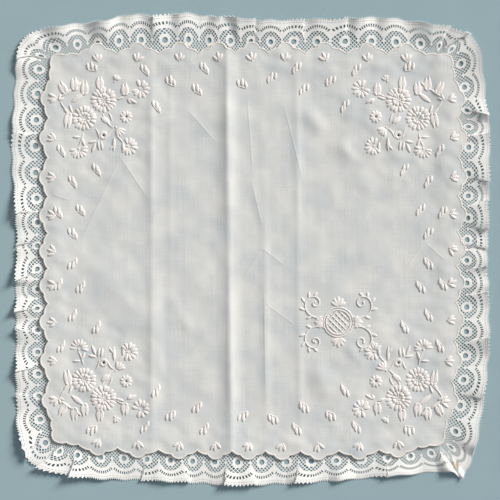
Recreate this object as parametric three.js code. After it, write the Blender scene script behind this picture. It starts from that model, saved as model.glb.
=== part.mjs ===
// A linen handkerchief with a lobed edge and a gathered lace frill, laid flat.
// Millimetres, +Z up. The origin is on the surface below the middle of the whole.
// The four sides run clockwise seen from above. Each has a frame of its own: "along" runs clockwise
// from the middle, and "out" is the distance from the origin.
import * as THREE from "three";

// Thickness of both sheets, measured straight up, and the air between them at the lap.
const SHEET = 1.2;
const LAP_GAP = 0.3;
const LAP_HEIGHT = SHEET + LAP_GAP;

// The linen lies on the frill this far in from its edge, and is down on the surface further in.
const LAP_FLAT = 4;
const LAP_SLOPE_END = 19;

// Sides of the linen, through the notches between its lobes. "start" is the corner it sets out
// from, "bow" how far its middle swells past the corners, "reach" how far the tall lobes stand past
// the notches, and "lobes" where the nine of them are.
const SIDES = [
  {
    name: "top",
    start: { along: -138.5, out: 134.5 },
    bow: 1.8,
    reach: 7.7,
    lobes: [-107, -79, -49.5, -22.5, 1, 24.5, 52, 82, 109],
  },
  {
    name: "right",
    start: { along: -134.5, out: 139.5 },
    bow: 7.4,
    reach: 6.3,
    lobes: [-105, -78, -50, -24, 0.5, 24, 50, 78.5, 107],
  },
  {
    name: "bottom",
    start: { along: -133.5, out: 136 },
    bow: 6,
    reach: 6.3,
    lobes: [-103.5, -76, -47.5, -22, 1.5, 24.5, 50, 79, 107],
  },
  {
    name: "left",
    start: { along: -134, out: 137.5 },
    bow: 3.4,
    reach: 6,
    lobes: [-106.5, -78.5, -51.5, -26, -2, 23, 49.5, 77.5, 105],
  },
];

// One lobe of the edge: a tall round lobe between two low shoulders.
const LOBE_HALF_WIDTH = 5.3;
const LOBE_FOOT_SHARE = 0.5;
const SHOULDER_ROUND = 0.9;
const END_SHOULDER = 13.5;
const CORNER_LOBE_ROUND = 1.1;
const LOBE_STEPS = 5;
const SHOULDER_STEPS = 2;

// Creases of the linen: soft ridges pressed in by folding. "top" and "bottom" are where the ridge
// line meets those edges, "left" and "right" how far its flanks reach, and "heights" its height
// from the top edge down, evenly spaced.
const CREASES = [
  { top: -16.5, bottom: -13.5, left: 11, right: 10, heights: [1.3, 2.3, 2.1, 1.3, 2, 2.3, 1.3] },
  { top: -69.5, bottom: -69, left: 8, right: 9, heights: [0.4, 0.9, 1, 0.6, 0.8, 0.9, 0.4] },
  { top: 32, bottom: 35, left: 7, right: 6, heights: [0.3, 0.7, 0.6, 0.4, 0.5, 0.6, 0.2] },
  { top: 9, bottom: 11.5, left: 6, right: 6, heights: [0, 0.1, 0.2, 0.5, 0.6, 0.5, 0.2] },
];

// The frill's strip, laid flat: its width, its repeats and the eye of each repeat.
const STRIP_WIDTH = 27;
const REPEATS = 73;
const TUCK_UNDER = 2;
const EYE_LEVEL = 10.4;
const EYE_RADIUS = 1.7;
const EYE_SIDES = 8;
const BAND_LEVEL = 17;
const LIFT_FROM = 12.3;
const EDGE_SCALLOP = 0.5;

// Folds of the frill. "repeat" counts the repeats clockwise, "along" and "out" place the free edge,
// "lift" is how high the fold stands there, and "rise" and "fall" are its length before and after
// the crest, in repeats. The first row of each side is its corner.
const FOLDS = [
  {
    side: 0,
    rows: [
      { repeat: -0.5, along: -158.5, out: 149.5, lift: 1.5, rise: 0.4, fall: 0.4 },
      { repeat: 0.3, along: -135.5, out: 156.5, lift: 3.5, rise: 0.5, fall: 0.9 },
      { repeat: 2.2, along: -104, out: 160, lift: 4.5, rise: 1, fall: 1 },
      { repeat: 3.5, along: -84.5, out: 165, lift: 0.8, rise: 0.5, fall: 0.5 },
      { repeat: 4.7, along: -65, out: 164, lift: 2.5, rise: 0.8, fall: 0.5 },
      { repeat: 5.6, along: -49.5, out: 166, lift: 2.5, rise: 0.4, fall: 1 },
      { repeat: 7.5, along: -21.5, out: 163, lift: 4, rise: 0.6, fall: 0.4 },
      { repeat: 8.3, along: -9.5, out: 163, lift: 4, rise: 0.4, fall: 0.6 },
      { repeat: 9.6, along: 8, out: 161, lift: 2.5, rise: 0.7, fall: 1.8 },
      { repeat: 12.1, along: 48.5, out: 161.5, lift: 2.5, rise: 0.8, fall: 1 },
      { repeat: 13.5, along: 75.5, out: 162.5, lift: 3.2, rise: 0.5, fall: 0.8 },
      { repeat: 14.6, along: 95, out: 162.5, lift: 2.2, rise: 0.5, fall: 0.8 },
      { repeat: 16.5, along: 127, out: 158, lift: 4.5, rise: 1.2, fall: 0.8 },
    ],
  },
  {
    side: 1,
    rows: [
      { repeat: 18.4, along: -149, out: 156.5, lift: 1.5, rise: 0.4, fall: 0.4 },
      { repeat: 18.8, along: -139, out: 161.5, lift: 3, rise: 0.4, fall: 1.6 },
      { repeat: 21.1, along: -95.5, out: 167, lift: 3, rise: 0.6, fall: 0.7 },
      { repeat: 22.5, along: -79, out: 168.5, lift: 0.6, rise: 0.5, fall: 0.5 },
      { repeat: 24.2, along: -49.5, out: 168, lift: 3, rise: 1.3, fall: 0.9 },
      { repeat: 26, along: -21.5, out: 167.5, lift: 3, rise: 0.8, fall: 1 },
      { repeat: 28.3, along: 13, out: 166.5, lift: 3, rise: 1, fall: 0.4 },
      { repeat: 29.2, along: 27.5, out: 167.5, lift: 2.5, rise: 0.5, fall: 1 },
      { repeat: 31.4, along: 65, out: 168, lift: 3.2, rise: 1.2, fall: 0.8 },
      { repeat: 33.3, along: 97, out: 165.5, lift: 2.5, rise: 1, fall: 0.8 },
      { repeat: 35.5, along: 139, out: 158.5, lift: 3.5, rise: 1.6, fall: 0.5 },
    ],
  },
  {
    side: 2,
    rows: [
      { repeat: 36.5, along: -149, out: 161.5, lift: 2, rise: 0.4, fall: 0.3 },
      { repeat: 37.1, along: -141, out: 157, lift: 4.5, rise: 0.5, fall: 0.6 },
      { repeat: 39.5, along: -104, out: 159.5, lift: 3, rise: 1.1, fall: 1.6 },
      { repeat: 41.8, along: -63.5, out: 163, lift: 3, rise: 0.7, fall: 0.6 },
      { repeat: 43.5, along: -34, out: 165, lift: 2.5, rise: 1.1, fall: 0.6 },
      { repeat: 46, along: 9, out: 166.5, lift: 3, rise: 1.8, fall: 1.4 },
      { repeat: 49.5, along: 64, out: 163.5, lift: 3, rise: 1.8, fall: 0.5 },
      { repeat: 53.1, along: 122, out: 160.5, lift: 3.5, rise: 2.4, fall: 0.8 },
    ],
  },
  {
    side: 3,
    rows: [
      { repeat: 54.6, along: -151.5, out: 153.5, lift: 2, rise: 0.4, fall: 0.3 },
      { repeat: 55.1, along: -132.5, out: 163, lift: 3.5, rise: 0.4, fall: 1.2 },
      { repeat: 58.3, along: -83, out: 165, lift: 3, rise: 1.3, fall: 0.8 },
      { repeat: 59.9, along: -59, out: 165, lift: 2.5, rise: 0.6, fall: 0.5 },
      { repeat: 60.9, along: -43, out: 165.5, lift: 3, rise: 0.5, fall: 0.9 },
      { repeat: 62.5, along: -21.5, out: 165, lift: 3.5, rise: 0.4, fall: 1.4 },
      { repeat: 65.5, along: 26.5, out: 165, lift: 3.5, rise: 1.2, fall: 1.8 },
      { repeat: 67.3, along: 58.5, out: 168, lift: 0.6, rise: 0.5, fall: 0.5 },
      { repeat: 68.7, along: 84.5, out: 167.5, lift: 2, rise: 0.9, fall: 1.2 },
      { repeat: 71.2, along: 130.5, out: 164.5, lift: 4.5, rise: 0.8, fall: 0.6 },
    ],
  },
];

// Past this distance from a side's middle the gathers at the seam close up towards the corner,
// where the seam runs further inside the linen.
const GATHER_FROM = 126;
const SEAM_CORNER_INSET = 4;

const clamp = (value, low, high) => Math.min(Math.max(value, low), high);
const mix = (from, to, share) => from + (to - from) * share;
const smooth = (share) => share * share * (3 - 2 * share);

// The point of a side's frame in the plan of the whole.
function planPoint(side, along, out) {
  const quarter = (-Math.PI / 2) * side;
  const cos = Math.round(Math.cos(quarter));
  const sin = Math.round(Math.sin(quarter));
  return { x: along * cos - out * sin, y: along * sin + out * cos };
}

// The same the other way round: a plan point in a side's frame.
function sidePoint(side, x, y) {
  const quarter = (-Math.PI / 2) * side;
  const cos = Math.round(Math.cos(quarter));
  const sin = Math.round(Math.sin(quarter));
  return { along: x * cos + y * sin, out: y * cos - x * sin };
}

// The corner where a side ends, in that side's frame.
function sideEnd(side) {
  const next = (side + 1) % SIDES.length;
  const corner = planPoint(next, SIDES[next].start.along, SIDES[next].start.out);
  return sidePoint(side, corner.x, corner.y);
}

// How far out the line through the notches runs, at a place along a side.
function notchLine(side, along) {
  const start = SIDES[side].start;
  const end = sideEnd(side);
  const share = (along - start.along) / (end.along - start.along);
  const fromMiddle = clamp(2 * share - 1, -1, 1);
  return mix(start.out, end.out, share) + SIDES[side].bow * (1 - fromMiddle ** 4);
}

// How far a plan point lies inside the line through the notches.
function insetOf(x, y) {
  const depths = SIDES.map((_, side) => {
    const point = sidePoint(side, x, y);
    return notchLine(side, point.along) - point.out;
  });
  return Math.min(...depths);
}

// Height of a crease at a place down its length, 0 at the top edge and 1 at the bottom one.
function creaseHeight(crease, share) {
  const place = clamp(share, 0, 1) * (crease.heights.length - 1);
  const row = Math.min(Math.floor(place), crease.heights.length - 2);
  return mix(crease.heights[row], crease.heights[row + 1], smooth(place - row));
}

// Underside of the linen over a plan point: the lap on the frill, and the creases.
function linenHeight(x, y) {
  const down = clamp((SIDES[0].start.out - y) / (SIDES[0].start.out + SIDES[2].start.out), 0, 1);
  const lap = clamp((LAP_SLOPE_END - insetOf(x, y)) / (LAP_SLOPE_END - LAP_FLAT), 0, 1);
  const ridges = CREASES.map((crease) => {
    const offset = x - mix(crease.top, crease.bottom, down);
    const flank = offset < 0 ? crease.left : crease.right;
    return creaseHeight(crease, down) * clamp(1 - Math.abs(offset) / flank, 0, 1) ** 2;
  });
  return LAP_HEIGHT * smooth(lap) + Math.max(...ridges);
}

// Points of a round stretch from one place of the edge to the next, without the last.
function roundStretch(from, to, height, steps) {
  const run = { along: to.along - from.along, rise: to.rise - from.rise };
  const chord = Math.hypot(run.along, run.rise);
  const radius = (chord * chord) / (8 * height) + height / 2;
  const half = Math.asin(Math.min(chord / (2 * radius), 1));
  return Array.from({ length: steps }, (_, step) => {
    const turn = half * (2 * (step / steps) - 1);
    const forth = 0.5 + (radius * Math.sin(turn)) / chord;
    const bulge = (radius * (Math.cos(turn) - Math.cos(half))) / chord;
    return {
      along: from.along + run.along * forth - run.rise * bulge,
      rise: from.rise + run.rise * forth + run.along * bulge,
    };
  });
}

// Where a side's notches stand: halfway between its lobes, and past the first and the last.
function notchPlaces(side) {
  const lobes = SIDES[side].lobes;
  const between = lobes.slice(1).map((lobe, index) => (lobe + lobes[index]) / 2);
  return [lobes[0] - END_SHOULDER, ...between, lobes[lobes.length - 1] + END_SHOULDER];
}

// One side of the linen's lobed edge, from its first corner up to the next one.
function lobedSide(side) {
  const notches = notchPlaces(side);
  const firstCorner = { along: SIDES[side].start.along, rise: 0 };
  const lastCorner = { along: sideEnd(side).along, rise: 0 };
  const cornerLobes = (from, to) => {
    const middle = { along: (from.along + to.along) / 2, rise: 0 };
    return [
      ...roundStretch(from, middle, CORNER_LOBE_ROUND, SHOULDER_STEPS),
      ...roundStretch(middle, to, CORNER_LOBE_ROUND, SHOULDER_STEPS),
    ];
  };
  const points = cornerLobes(firstCorner, { along: notches[0], rise: 0 });
  const footRise = SIDES[side].reach * LOBE_FOOT_SHARE;
  const round = SIDES[side].reach - footRise;
  SIDES[side].lobes.forEach((lobe, index) => {
    const before = { along: notches[index], rise: 0 };
    const foot = { along: lobe - LOBE_HALF_WIDTH, rise: footRise };
    const otherFoot = { along: lobe + LOBE_HALF_WIDTH, rise: footRise };
    const after = { along: notches[index + 1], rise: 0 };
    points.push(...roundStretch(before, foot, SHOULDER_ROUND, SHOULDER_STEPS));
    points.push(...roundStretch(foot, otherFoot, round, LOBE_STEPS));
    points.push(...roundStretch(otherFoot, after, SHOULDER_ROUND, SHOULDER_STEPS));
  });
  points.push(...cornerLobes({ along: notches[notches.length - 1], rise: 0 }, lastCorner));
  return points.map(({ along, rise }) => ({
    along,
    ...planPoint(side, along, notchLine(side, along) + rise),
  }));
}

// Joins two chains that run side by side, the outer one on the left of the way they run.
// The chain whose next step has its middle first goes on.
function zip(inner, outer, place) {
  const triangles = [];
  const middle = (chain, index) => (place(chain[index]) + place(chain[index + 1])) / 2;
  let i = 0;
  let o = 0;
  while (i < inner.length - 1 || o < outer.length - 1) {
    const outerGoes =
      i === inner.length - 1 || (o < outer.length - 1 && middle(outer, o) <= middle(inner, i));
    if (outerGoes) {
      triangles.push([inner[i].index, outer[o + 1].index, outer[o].index]);
      o += 1;
    } else {
      triangles.push([inner[i].index, inner[i + 1].index, outer[o].index]);
      i += 1;
    }
  }
  return triangles;
}

// A closed sheet over a plan of triangles. Every plan edge with a triangle on one side only
// gets a wall, so holes need nothing more.
function sheetMesh(name, points, triangles, material) {
  const count = points.length;
  const positions = [];
  points.forEach(({ x, y, z }) => positions.push(x, y, z));
  points.forEach(({ x, y, z }) => positions.push(x, y, z + SHEET));
  const edges = new Set();
  triangles.forEach(([a, b, c]) => {
    edges.add(`${a} ${b}`);
    edges.add(`${b} ${c}`);
    edges.add(`${c} ${a}`);
  });
  const indices = [];
  triangles.forEach(([a, b, c]) => indices.push(a + count, b + count, c + count, c, b, a));
  edges.forEach((edge) => {
    const [a, b] = edge.split(" ").map(Number);
    if (!edges.has(`${b} ${a}`)) {
      indices.push(a, b, b + count, a, b + count, a + count);
    }
  });
  const geometry = new THREE.BufferGeometry();
  geometry.setAttribute("position", new THREE.Float32BufferAttribute(positions, 3));
  geometry.setIndex(indices);
  geometry.computeVertexNormals();
  const mesh = new THREE.Mesh(geometry, material);
  mesh.name = name;
  return mesh;
}

// Columns of the linen's grid as shares of its width: the crease lines and their flanks, with
// plain columns between them.
const PLAIN_COLUMNS = [-120, -106, -92, -52, -38, 22, 50, 66, 84, 102, 120];
const FLANK_SHARE = 0.45;

function gridColumns() {
  const columns = PLAIN_COLUMNS.map((x) => ({ top: x, bottom: x }));
  CREASES.forEach((crease) => {
    const { left, right } = crease;
    const offsets = [-left, -left * FLANK_SHARE, 0, right * FLANK_SHARE, right];
    offsets.forEach((offset) => {
      columns.push({ top: crease.top + offset, bottom: crease.bottom + offset });
    });
  });
  columns.sort((a, b) => a.top - b.top);
  return columns;
}

// Where the two highest creases run out through the top and the bottom.
const EDGE_CREASES = CREASES.slice(0, 2);

function creasePlaces(name) {
  if (name === "top") {
    return EDGE_CREASES.map((crease) => crease.top);
  }
  if (name === "bottom") {
    return EDGE_CREASES.map((crease) => -crease.bottom);
  }
  return [];
}

// Rows of the grid, and how far its rim stays inside the line through the notches.
const GRID_ROWS = 13;
const RIM_INSET = 19;
const SEAM_INSET = 4;

function linenSquare(material) {
  const points = [];
  const triangles = [];
  const addPoint = (x, y, along) => {
    points.push({ x, y, z: linenHeight(x, y) });
    return { index: points.length - 1, along };
  };

  // The grid inside the rim.
  const columns = gridColumns();
  const low = -notchLine(2, 0) + RIM_INSET;
  const high = notchLine(0, 0) - RIM_INSET;
  const grid = Array.from({ length: GRID_ROWS }, (_, row) => {
    const y = mix(low, high, row / (GRID_ROWS - 1));
    const down = (high - y) / (high - low);
    return columns.map((column) => addPoint(mix(column.top, column.bottom, down), y, 0));
  });
  for (let row = 0; row < GRID_ROWS - 1; row += 1) {
    for (let column = 0; column < columns.length - 1; column += 1) {
      const corners = [
        grid[row][column].index,
        grid[row][column + 1].index,
        grid[row + 1][column + 1].index,
        grid[row + 1][column].index,
      ];
      triangles.push([corners[0], corners[1], corners[2]], [corners[0], corners[2], corners[3]]);
    }
  }

  // The grid's four rims, clockwise, each with its places along its side.
  const rims = [
    grid[GRID_ROWS - 1],
    grid.map((row) => row[columns.length - 1]).reverse(),
    [...grid[0]].reverse(),
    grid.map((row) => row[0]),
  ];
  const rimChains = rims.map((rim, side) =>
    rim.map(({ index }) => ({
      index,
      along: sidePoint(side, points[index].x, points[index].y).along,
    })),
  );

  // A ring along the seam with a point under every lobe and notch, then the lobed edge itself.
  const seamCorners = SIDES.map(({ start }, side) => {
    const corner = planPoint(side, start.along + SEAM_INSET, start.out - SEAM_INSET);
    return addPoint(corner.x, corner.y, start.along + SEAM_INSET);
  });
  const edgeSides = SIDES.map((_, side) => lobedSide(side));
  const edgeChains = edgeSides.map((edge) => edge.map(({ x, y, along }) => addPoint(x, y, along)));
  SIDES.forEach(({ name, lobes }, side) => {
    const next = (side + 1) % SIDES.length;
    const endAlong = sideEnd(side).along;
    const places = [...notchPlaces(side), ...lobes, ...creasePlaces(name)];
    places.sort((a, b) => a - b);
    const between = places.map((along) => {
      const point = planPoint(side, along, notchLine(side, along) - SEAM_INSET);
      return addPoint(point.x, point.y, along);
    });
    const seam = [
      seamCorners[side],
      ...between,
      { index: seamCorners[next].index, along: endAlong - SEAM_INSET },
    ];
    const edge = [...edgeChains[side], { index: edgeChains[next][0].index, along: endAlong }];
    triangles.push(...zip(rimChains[side], seam, (point) => point.along));
    triangles.push(...zip(seam, edge, (point) => point.along));
  });
  return sheetMesh("linen_square", points, triangles, material);
}

// Every fold in one list, with the free edge and the seam under it in the plan of the whole.
function foldStations() {
  return FOLDS.flatMap(({ side, rows }) => {
    const next = FOLDS[(side + 1) % FOLDS.length].rows[0];
    const nextCorner = planPoint((side + 1) % FOLDS.length, next.along, next.out);
    const lastAlong = sidePoint(side, nextCorner.x, nextCorner.y).along;
    return rows.map((row) => {
      const end = row.along < 0 ? SIDES[side].start.along : sideEnd(side).along;
      const reach = Math.abs(row.along < 0 ? rows[0].along : lastAlong);
      const past = Math.max(Math.abs(row.along) - GATHER_FROM, 0) / (reach - GATHER_FROM);
      const inset = mix(TUCK_UNDER, SEAM_CORNER_INSET, past);
      const seamAlong = past
        ? Math.sign(row.along) * mix(GATHER_FROM, Math.abs(end) - SEAM_CORNER_INSET, past)
        : row.along;
      return {
        ...row,
        edge: planPoint(side, row.along, row.out),
        seam: planPoint(side, seamAlong, notchLine(side, seamAlong) - inset),
      };
    });
  });
}

const STATIONS = foldStations();

// The station of a number that may run past either end of the list, one lap on or back.
function stationAt(index) {
  const lap = Math.floor(index / STATIONS.length);
  const station = STATIONS[index - lap * STATIONS.length];
  return { ...station, repeat: station.repeat + lap * REPEATS };
}

// A smooth run through four values with uneven spacing, between the second and the third.
function throughFour(places, values, place) {
  const span = places[2] - places[1];
  const share = (place - places[1]) / span;
  const slopeIn = (values[2] - values[0]) / (places[2] - places[0]);
  const slopeOut = (values[3] - values[1]) / (places[3] - places[1]);
  const square = share * share;
  const cube = square * share;
  return (
    (2 * cube - 3 * square + 1) * values[1] +
    (cube - 2 * square + share) * span * slopeIn +
    (3 * square - 2 * cube) * values[2] +
    (cube - square) * span * slopeOut
  );
}

// Height of the free edge: each fold adds a crest of its own.
function foldLift(repeat) {
  return STATIONS.reduce((sum, fold) => {
    const laps = Math.round((repeat - fold.repeat) / REPEATS);
    const offset = repeat - fold.repeat - laps * REPEATS;
    const share = Math.min(Math.abs(offset) / (offset < 0 ? fold.rise : fold.fall), 1);
    return sum + fold.lift * Math.cos((share * Math.PI) / 2) ** 2;
  }, 0);
}

// Underside of the frill at a repeat number and a distance across the strip.
function frillPoint(repeat, across) {
  let index = 0;
  while (stationAt(index + 1).repeat < repeat) {
    index += 1;
  }
  while (stationAt(index).repeat > repeat) {
    index -= 1;
  }
  const four = [index - 1, index, index + 1, index + 2].map(stationAt);
  const places = four.map((station) => station.repeat);
  const run = (line, axis) =>
    throughFour(places, four.map((station) => station[line][axis]), repeat);
  const swell = EDGE_SCALLOP * (Math.cos(2 * Math.PI * repeat) - 1);
  const share = (across / STRIP_WIDTH) * (1 + swell / STRIP_WIDTH);
  const raised = clamp((across - LIFT_FROM) / (STRIP_WIDTH - LIFT_FROM), 0, 1);
  return {
    x: mix(run("seam", "x"), run("edge", "x"), share),
    y: mix(run("seam", "y"), run("edge", "y"), share),
    z: foldLift(repeat) * raised,
  };
}

// Places in one repeat of the strip: "ahead" in repeats from its eye, and "across" from the seam.
const CELL_FRAME = [
  { ahead: -0.5, across: 0 },
  { ahead: 0, across: 0 },
  { ahead: 0.5, across: 0 },
  { ahead: 0.5, across: EYE_LEVEL },
  { ahead: 0.5, across: BAND_LEVEL },
  { ahead: 0.25, across: BAND_LEVEL },
  { ahead: 0, across: BAND_LEVEL },
  { ahead: -0.25, across: BAND_LEVEL },
  { ahead: -0.5, across: BAND_LEVEL },
  { ahead: -0.5, across: EYE_LEVEL },
];
const BAND_PLACES = [-0.5, -0.25, 0, 0.25, 0.5];
const FLAT_REPEAT = 18.5;

function laceFrill(material) {
  const points = [];
  const triangles = [];
  const known = new Map();
  const addPoint = (repeat, across) => {
    const lapped = (repeat + REPEATS) % REPEATS;
    const key = `${lapped.toFixed(3)} ${across.toFixed(3)}`;
    if (!known.has(key)) {
      known.set(key, points.length);
      points.push(frillPoint(lapped, across));
    }
    return known.get(key);
  };
  const angleOf = (ahead, across) => {
    const angle = Math.atan2(across - EYE_LEVEL, ahead * FLAT_REPEAT);
    return angle < 0 ? angle + 2 * Math.PI : angle;
  };
  const closed = (chain) => [...chain, { ...chain[0], angle: chain[0].angle + 2 * Math.PI }];
  for (let repeat = 0; repeat < REPEATS; repeat += 1) {
    const frame = CELL_FRAME.map(({ ahead, across }) => ({
      index: addPoint(repeat + ahead, across),
      angle: angleOf(ahead, across),
    })).sort((a, b) => a.angle - b.angle);
    const eye = Array.from({ length: EYE_SIDES }, (_, side) => {
      const angle = (2 * Math.PI * side) / EYE_SIDES;
      const ahead = (EYE_RADIUS * Math.cos(angle)) / FLAT_REPEAT;
      return { index: addPoint(repeat + ahead, EYE_LEVEL + EYE_RADIUS * Math.sin(angle)), angle };
    });
    const ring = zip(closed(eye), closed(frame), (point) => point.angle);
    triangles.push(...ring.map(([a, b, c]) => [a, c, b]));
    for (let place = 0; place < BAND_PLACES.length - 1; place += 1) {
      const near = repeat + BAND_PLACES[place];
      const far = repeat + BAND_PLACES[place + 1];
      const corners = [
        addPoint(near, BAND_LEVEL),
        addPoint(far, BAND_LEVEL),
        addPoint(far, STRIP_WIDTH),
        addPoint(near, STRIP_WIDTH),
      ];
      triangles.push([corners[0], corners[1], corners[2]], [corners[0], corners[2], corners[3]]);
    }
  }
  return sheetMesh("lace_frill", points, triangles, material);
}

const linen = new THREE.MeshStandardMaterial({ color: 0xdcdcd8, roughness: 0.9, metalness: 0 });
const lace = new THREE.MeshStandardMaterial({ color: 0xf1ece2, roughness: 0.95, metalness: 0 });

const handkerchief = new THREE.Group();
handkerchief.add(linenSquare(linen), laceFrill(lace));

export default handkerchief;
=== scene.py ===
"""A linen handkerchief laid flat: a lobed edge, white embroidery and a gathered lace frill.

Tables and plans are in millimetres, in the plan of the whole: +X to the right, +Y to the far side.
The four sides run clockwise. Each has a frame of its own: "along" runs clockwise from the middle,
and "out" is the distance from the origin. Meshes are made in metres.
"""

import logging
import math
from dataclasses import dataclass, field
from enum import Enum

import bpy
import numpy as np
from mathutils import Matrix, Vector
from mathutils.geometry import delaunay_2d_cdt


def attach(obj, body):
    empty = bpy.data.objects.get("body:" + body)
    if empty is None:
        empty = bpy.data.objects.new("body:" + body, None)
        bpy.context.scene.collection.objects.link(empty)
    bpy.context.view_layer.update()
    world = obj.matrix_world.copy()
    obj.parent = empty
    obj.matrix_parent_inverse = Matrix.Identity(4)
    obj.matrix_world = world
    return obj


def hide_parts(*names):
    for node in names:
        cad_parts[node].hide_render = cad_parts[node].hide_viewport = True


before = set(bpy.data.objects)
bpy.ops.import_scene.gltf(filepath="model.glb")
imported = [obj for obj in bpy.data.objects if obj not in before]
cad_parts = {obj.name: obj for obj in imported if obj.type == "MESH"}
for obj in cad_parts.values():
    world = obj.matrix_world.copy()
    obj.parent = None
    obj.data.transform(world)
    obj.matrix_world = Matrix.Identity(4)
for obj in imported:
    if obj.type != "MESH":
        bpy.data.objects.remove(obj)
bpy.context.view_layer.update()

log = logging.getLogger("handkerchief")

Colour = tuple[float, float, float, float]
Pair = tuple[float, float]
Triple = tuple[float, float, float]
Quarter = tuple[int, int]
Array = np.ndarray
Piece = bpy.types.Object
Socket = bpy.types.NodeSocket

MM = 0.001
BODY = "root"
SMOOTH_ANGLE = math.radians(38)
# Plan points that are closer than this are one point.
SAME_POINT = 1e-6


class Slot(Enum):
    """Material slots of the record."""

    LINEN = "linen"
    LACE = "lace"
    EMBROIDERY = "embroidery"


class Form(Enum):
    """Forms of padded satin stitch, each modelled once."""

    PETAL = "petal"
    LEAF = "leaf"
    KNOT = "knot"


class Pattern(Enum):
    """Thread patterns, each with a node group of its own."""

    WOVEN = "woven_threads"
    STITCHED = "laid_stitches"


# Plan of the linen


@dataclass(frozen=True)
class Side:
    """A side of the linen through the notches of its edge, from its first corner on.

    "bow" is how far its middle swells out, "reach" how far the lobes stand past the notches, and
    "lobes" where the nine of them are.
    """

    along: float
    out: float
    bow: float
    reach: float
    lobes: tuple[float, ...]


@dataclass(frozen=True)
class Crease:
    """A pressed crease from the top edge to the bottom one: where it runs, its flanks, its heights."""

    top: float
    bottom: float
    left: float
    right: float
    heights: tuple[float, ...]


@dataclass(frozen=True)
class Wrinkle:
    """A soft short ridge between two points, with its height and half width."""

    x0: float
    y0: float
    x1: float
    y1: float
    height: float
    width: float


@dataclass(frozen=True)
class Swell:
    """A broad low rise of the cloth: its middle, its two half lengths, its turn and its height."""

    x: float
    y: float
    long: float
    short: float
    turn: float
    height: float


@dataclass(frozen=True)
class Ripple:
    """A faint even unevenness: its wavelength, the way it runs, its phase and its height."""

    length: float
    turn: float
    phase: float
    height: float


SIDES = (
    Side(-138.5, 134.5, 1.8, 7.7, (-107, -79, -49.5, -22.5, 1, 24.5, 52, 82, 109)),
    Side(-134.5, 139.5, 7.4, 6.3, (-105, -78, -50, -24, 0.5, 24, 50, 78.5, 107)),
    Side(-133.5, 136, 6, 6.3, (-103.5, -76, -47.5, -22, 1.5, 24.5, 50, 79, 107)),
    Side(-134, 137.5, 3.4, 6, (-106.5, -78.5, -51.5, -26, -2, 23, 49.5, 77.5, 105)),
)

CREASES = (
    Crease(-16.5, -13.5, 11, 10, (1.3, 2.3, 2.1, 1.3, 2, 2.3, 1.3)),
    Crease(-69.5, -69, 8, 9, (0.4, 0.9, 1, 0.6, 0.8, 0.9, 0.4)),
    Crease(32, 35, 7, 6, (0.3, 0.7, 0.6, 0.4, 0.5, 0.6, 0.2)),
    Crease(9, 11.5, 6, 6, (0, 0.1, 0.2, 0.5, 0.6, 0.5, 0.2)),
    Crease(-56.5, -55.5, 3, 3, (0.1, 0.15, 0.2, 0.15, 0.1, 0.15, 0.1)),
)

WRINKLES = (
    Wrinkle(-42.5, 95.5, -25.5, 76, 0.2, 2.8),
    Wrinkle(1, 46, 8, 16.5, 0.25, 2.6),
    Wrinkle(8, 0.5, -4.5, -20.5, 0.15, 2.4),
    Wrinkle(8, 0.5, 23.5, -11.5, 0.18, 2.6),
    Wrinkle(-91, 64, -117, 8, 0.22, 2.8),
    Wrinkle(-91, 64, -73, 37, 0.2, 2.8),
    Wrinkle(-139, 38, -127, 34, 0.15, 2.6),
    Wrinkle(-116, -9.5, -70, -57, 0.45, 8),
    Wrinkle(-56, -34, -42, -58, 0.35, 4.5),
    Wrinkle(-66, -22, -64, -92, 0.35, 4),
    Wrinkle(38, 98, 50, 82, 0.9, 6),
    Wrinkle(62, 76, 72, 62, 0.9, 6),
    Wrinkle(74, 52, 86, 36, 0.6, 6),
    Wrinkle(24, 98, 36, 50, 0.15, 2.8),
    Wrinkle(108, -15, 122, 4.5, 0.2, 3),
    Wrinkle(122, 4.5, 136, -8, 0.2, 3),
    Wrinkle(12, -39.5, 31, -53.5, 0.15, 3),
    Wrinkle(66, -67, 80, -85, 0.5, 4),
    Wrinkle(46, -84, 54, -104, 0.8, 6),
    Wrinkle(-2, 104, 1.5, 54, 0.15, 2.2),
    Wrinkle(9.5, -30, 10.5, -100, 0.15, 2.4),
)

# Wrinkles no wider than this are drawn as crisp lines in the finish too.
PRESSED_WIDTH = 3.2

SWELLS = (
    Swell(88, 92, 34, 22, -50, 0.8),
    Swell(138, 84, 52, 12, 90, 0.9),
    Swell(-96, -26, 34, 15, -45, 0.6),
    Swell(-120, 66, 30, 16, 70, 0.5),
    Swell(60, -104, 26, 16, 60, 0.6),
    Swell(96, -60, 36, 18, 20, 0.5),
    Swell(4, 96, 30, 14, 10, 0.4),
    Swell(-104, -104, 26, 18, 40, 0.5),
)

RIPPLES = (
    Ripple(41, 12, 0.4, 0.16),
    Ripple(29, 74, 1.9, 0.13),
    Ripple(23, 131, 3.1, 0.1),
    Ripple(13.5, 48, 0.8, 0.06),
    Ripple(11, 160, 5.2, 0.05),
)

# Puckers round the middles of the corner sprays and along the edge.
PUCKERS = (
    Ripple(17, 22, 1.1, 0.22),
    Ripple(13, 101, 4.2, 0.18),
    Ripple(10.5, 146, 2.5, 0.13),
    Ripple(8.2, 63, 0.3, 0.08),
)
SPRAY_MIDDLE = (107, 92)
SPRAY_REACH = 42

# Cosine and sine of the turn of each side's frame.
QUARTER_TURNS = ((1, 0), (0, -1), (-1, 0), (0, 1))
# The higher this is, the straighter a side's middle and the rounder its ends.
BOW_POWER = 4


def plan_point(side: int, along: Array | float, out: Array | float) -> Array:
    """Takes places in a side's frame to the plan of the whole.

    Args:
        side: number of the side, which may run past the last one.
        along: places along the side.
        out: distances from the origin.

    Returns:
        The plan points, with x and y on the last axis.
    """
    cos, sin = QUARTER_TURNS[side % len(SIDES)]
    return np.stack([along * cos - out * sin, along * sin + out * cos], axis=-1)


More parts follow.
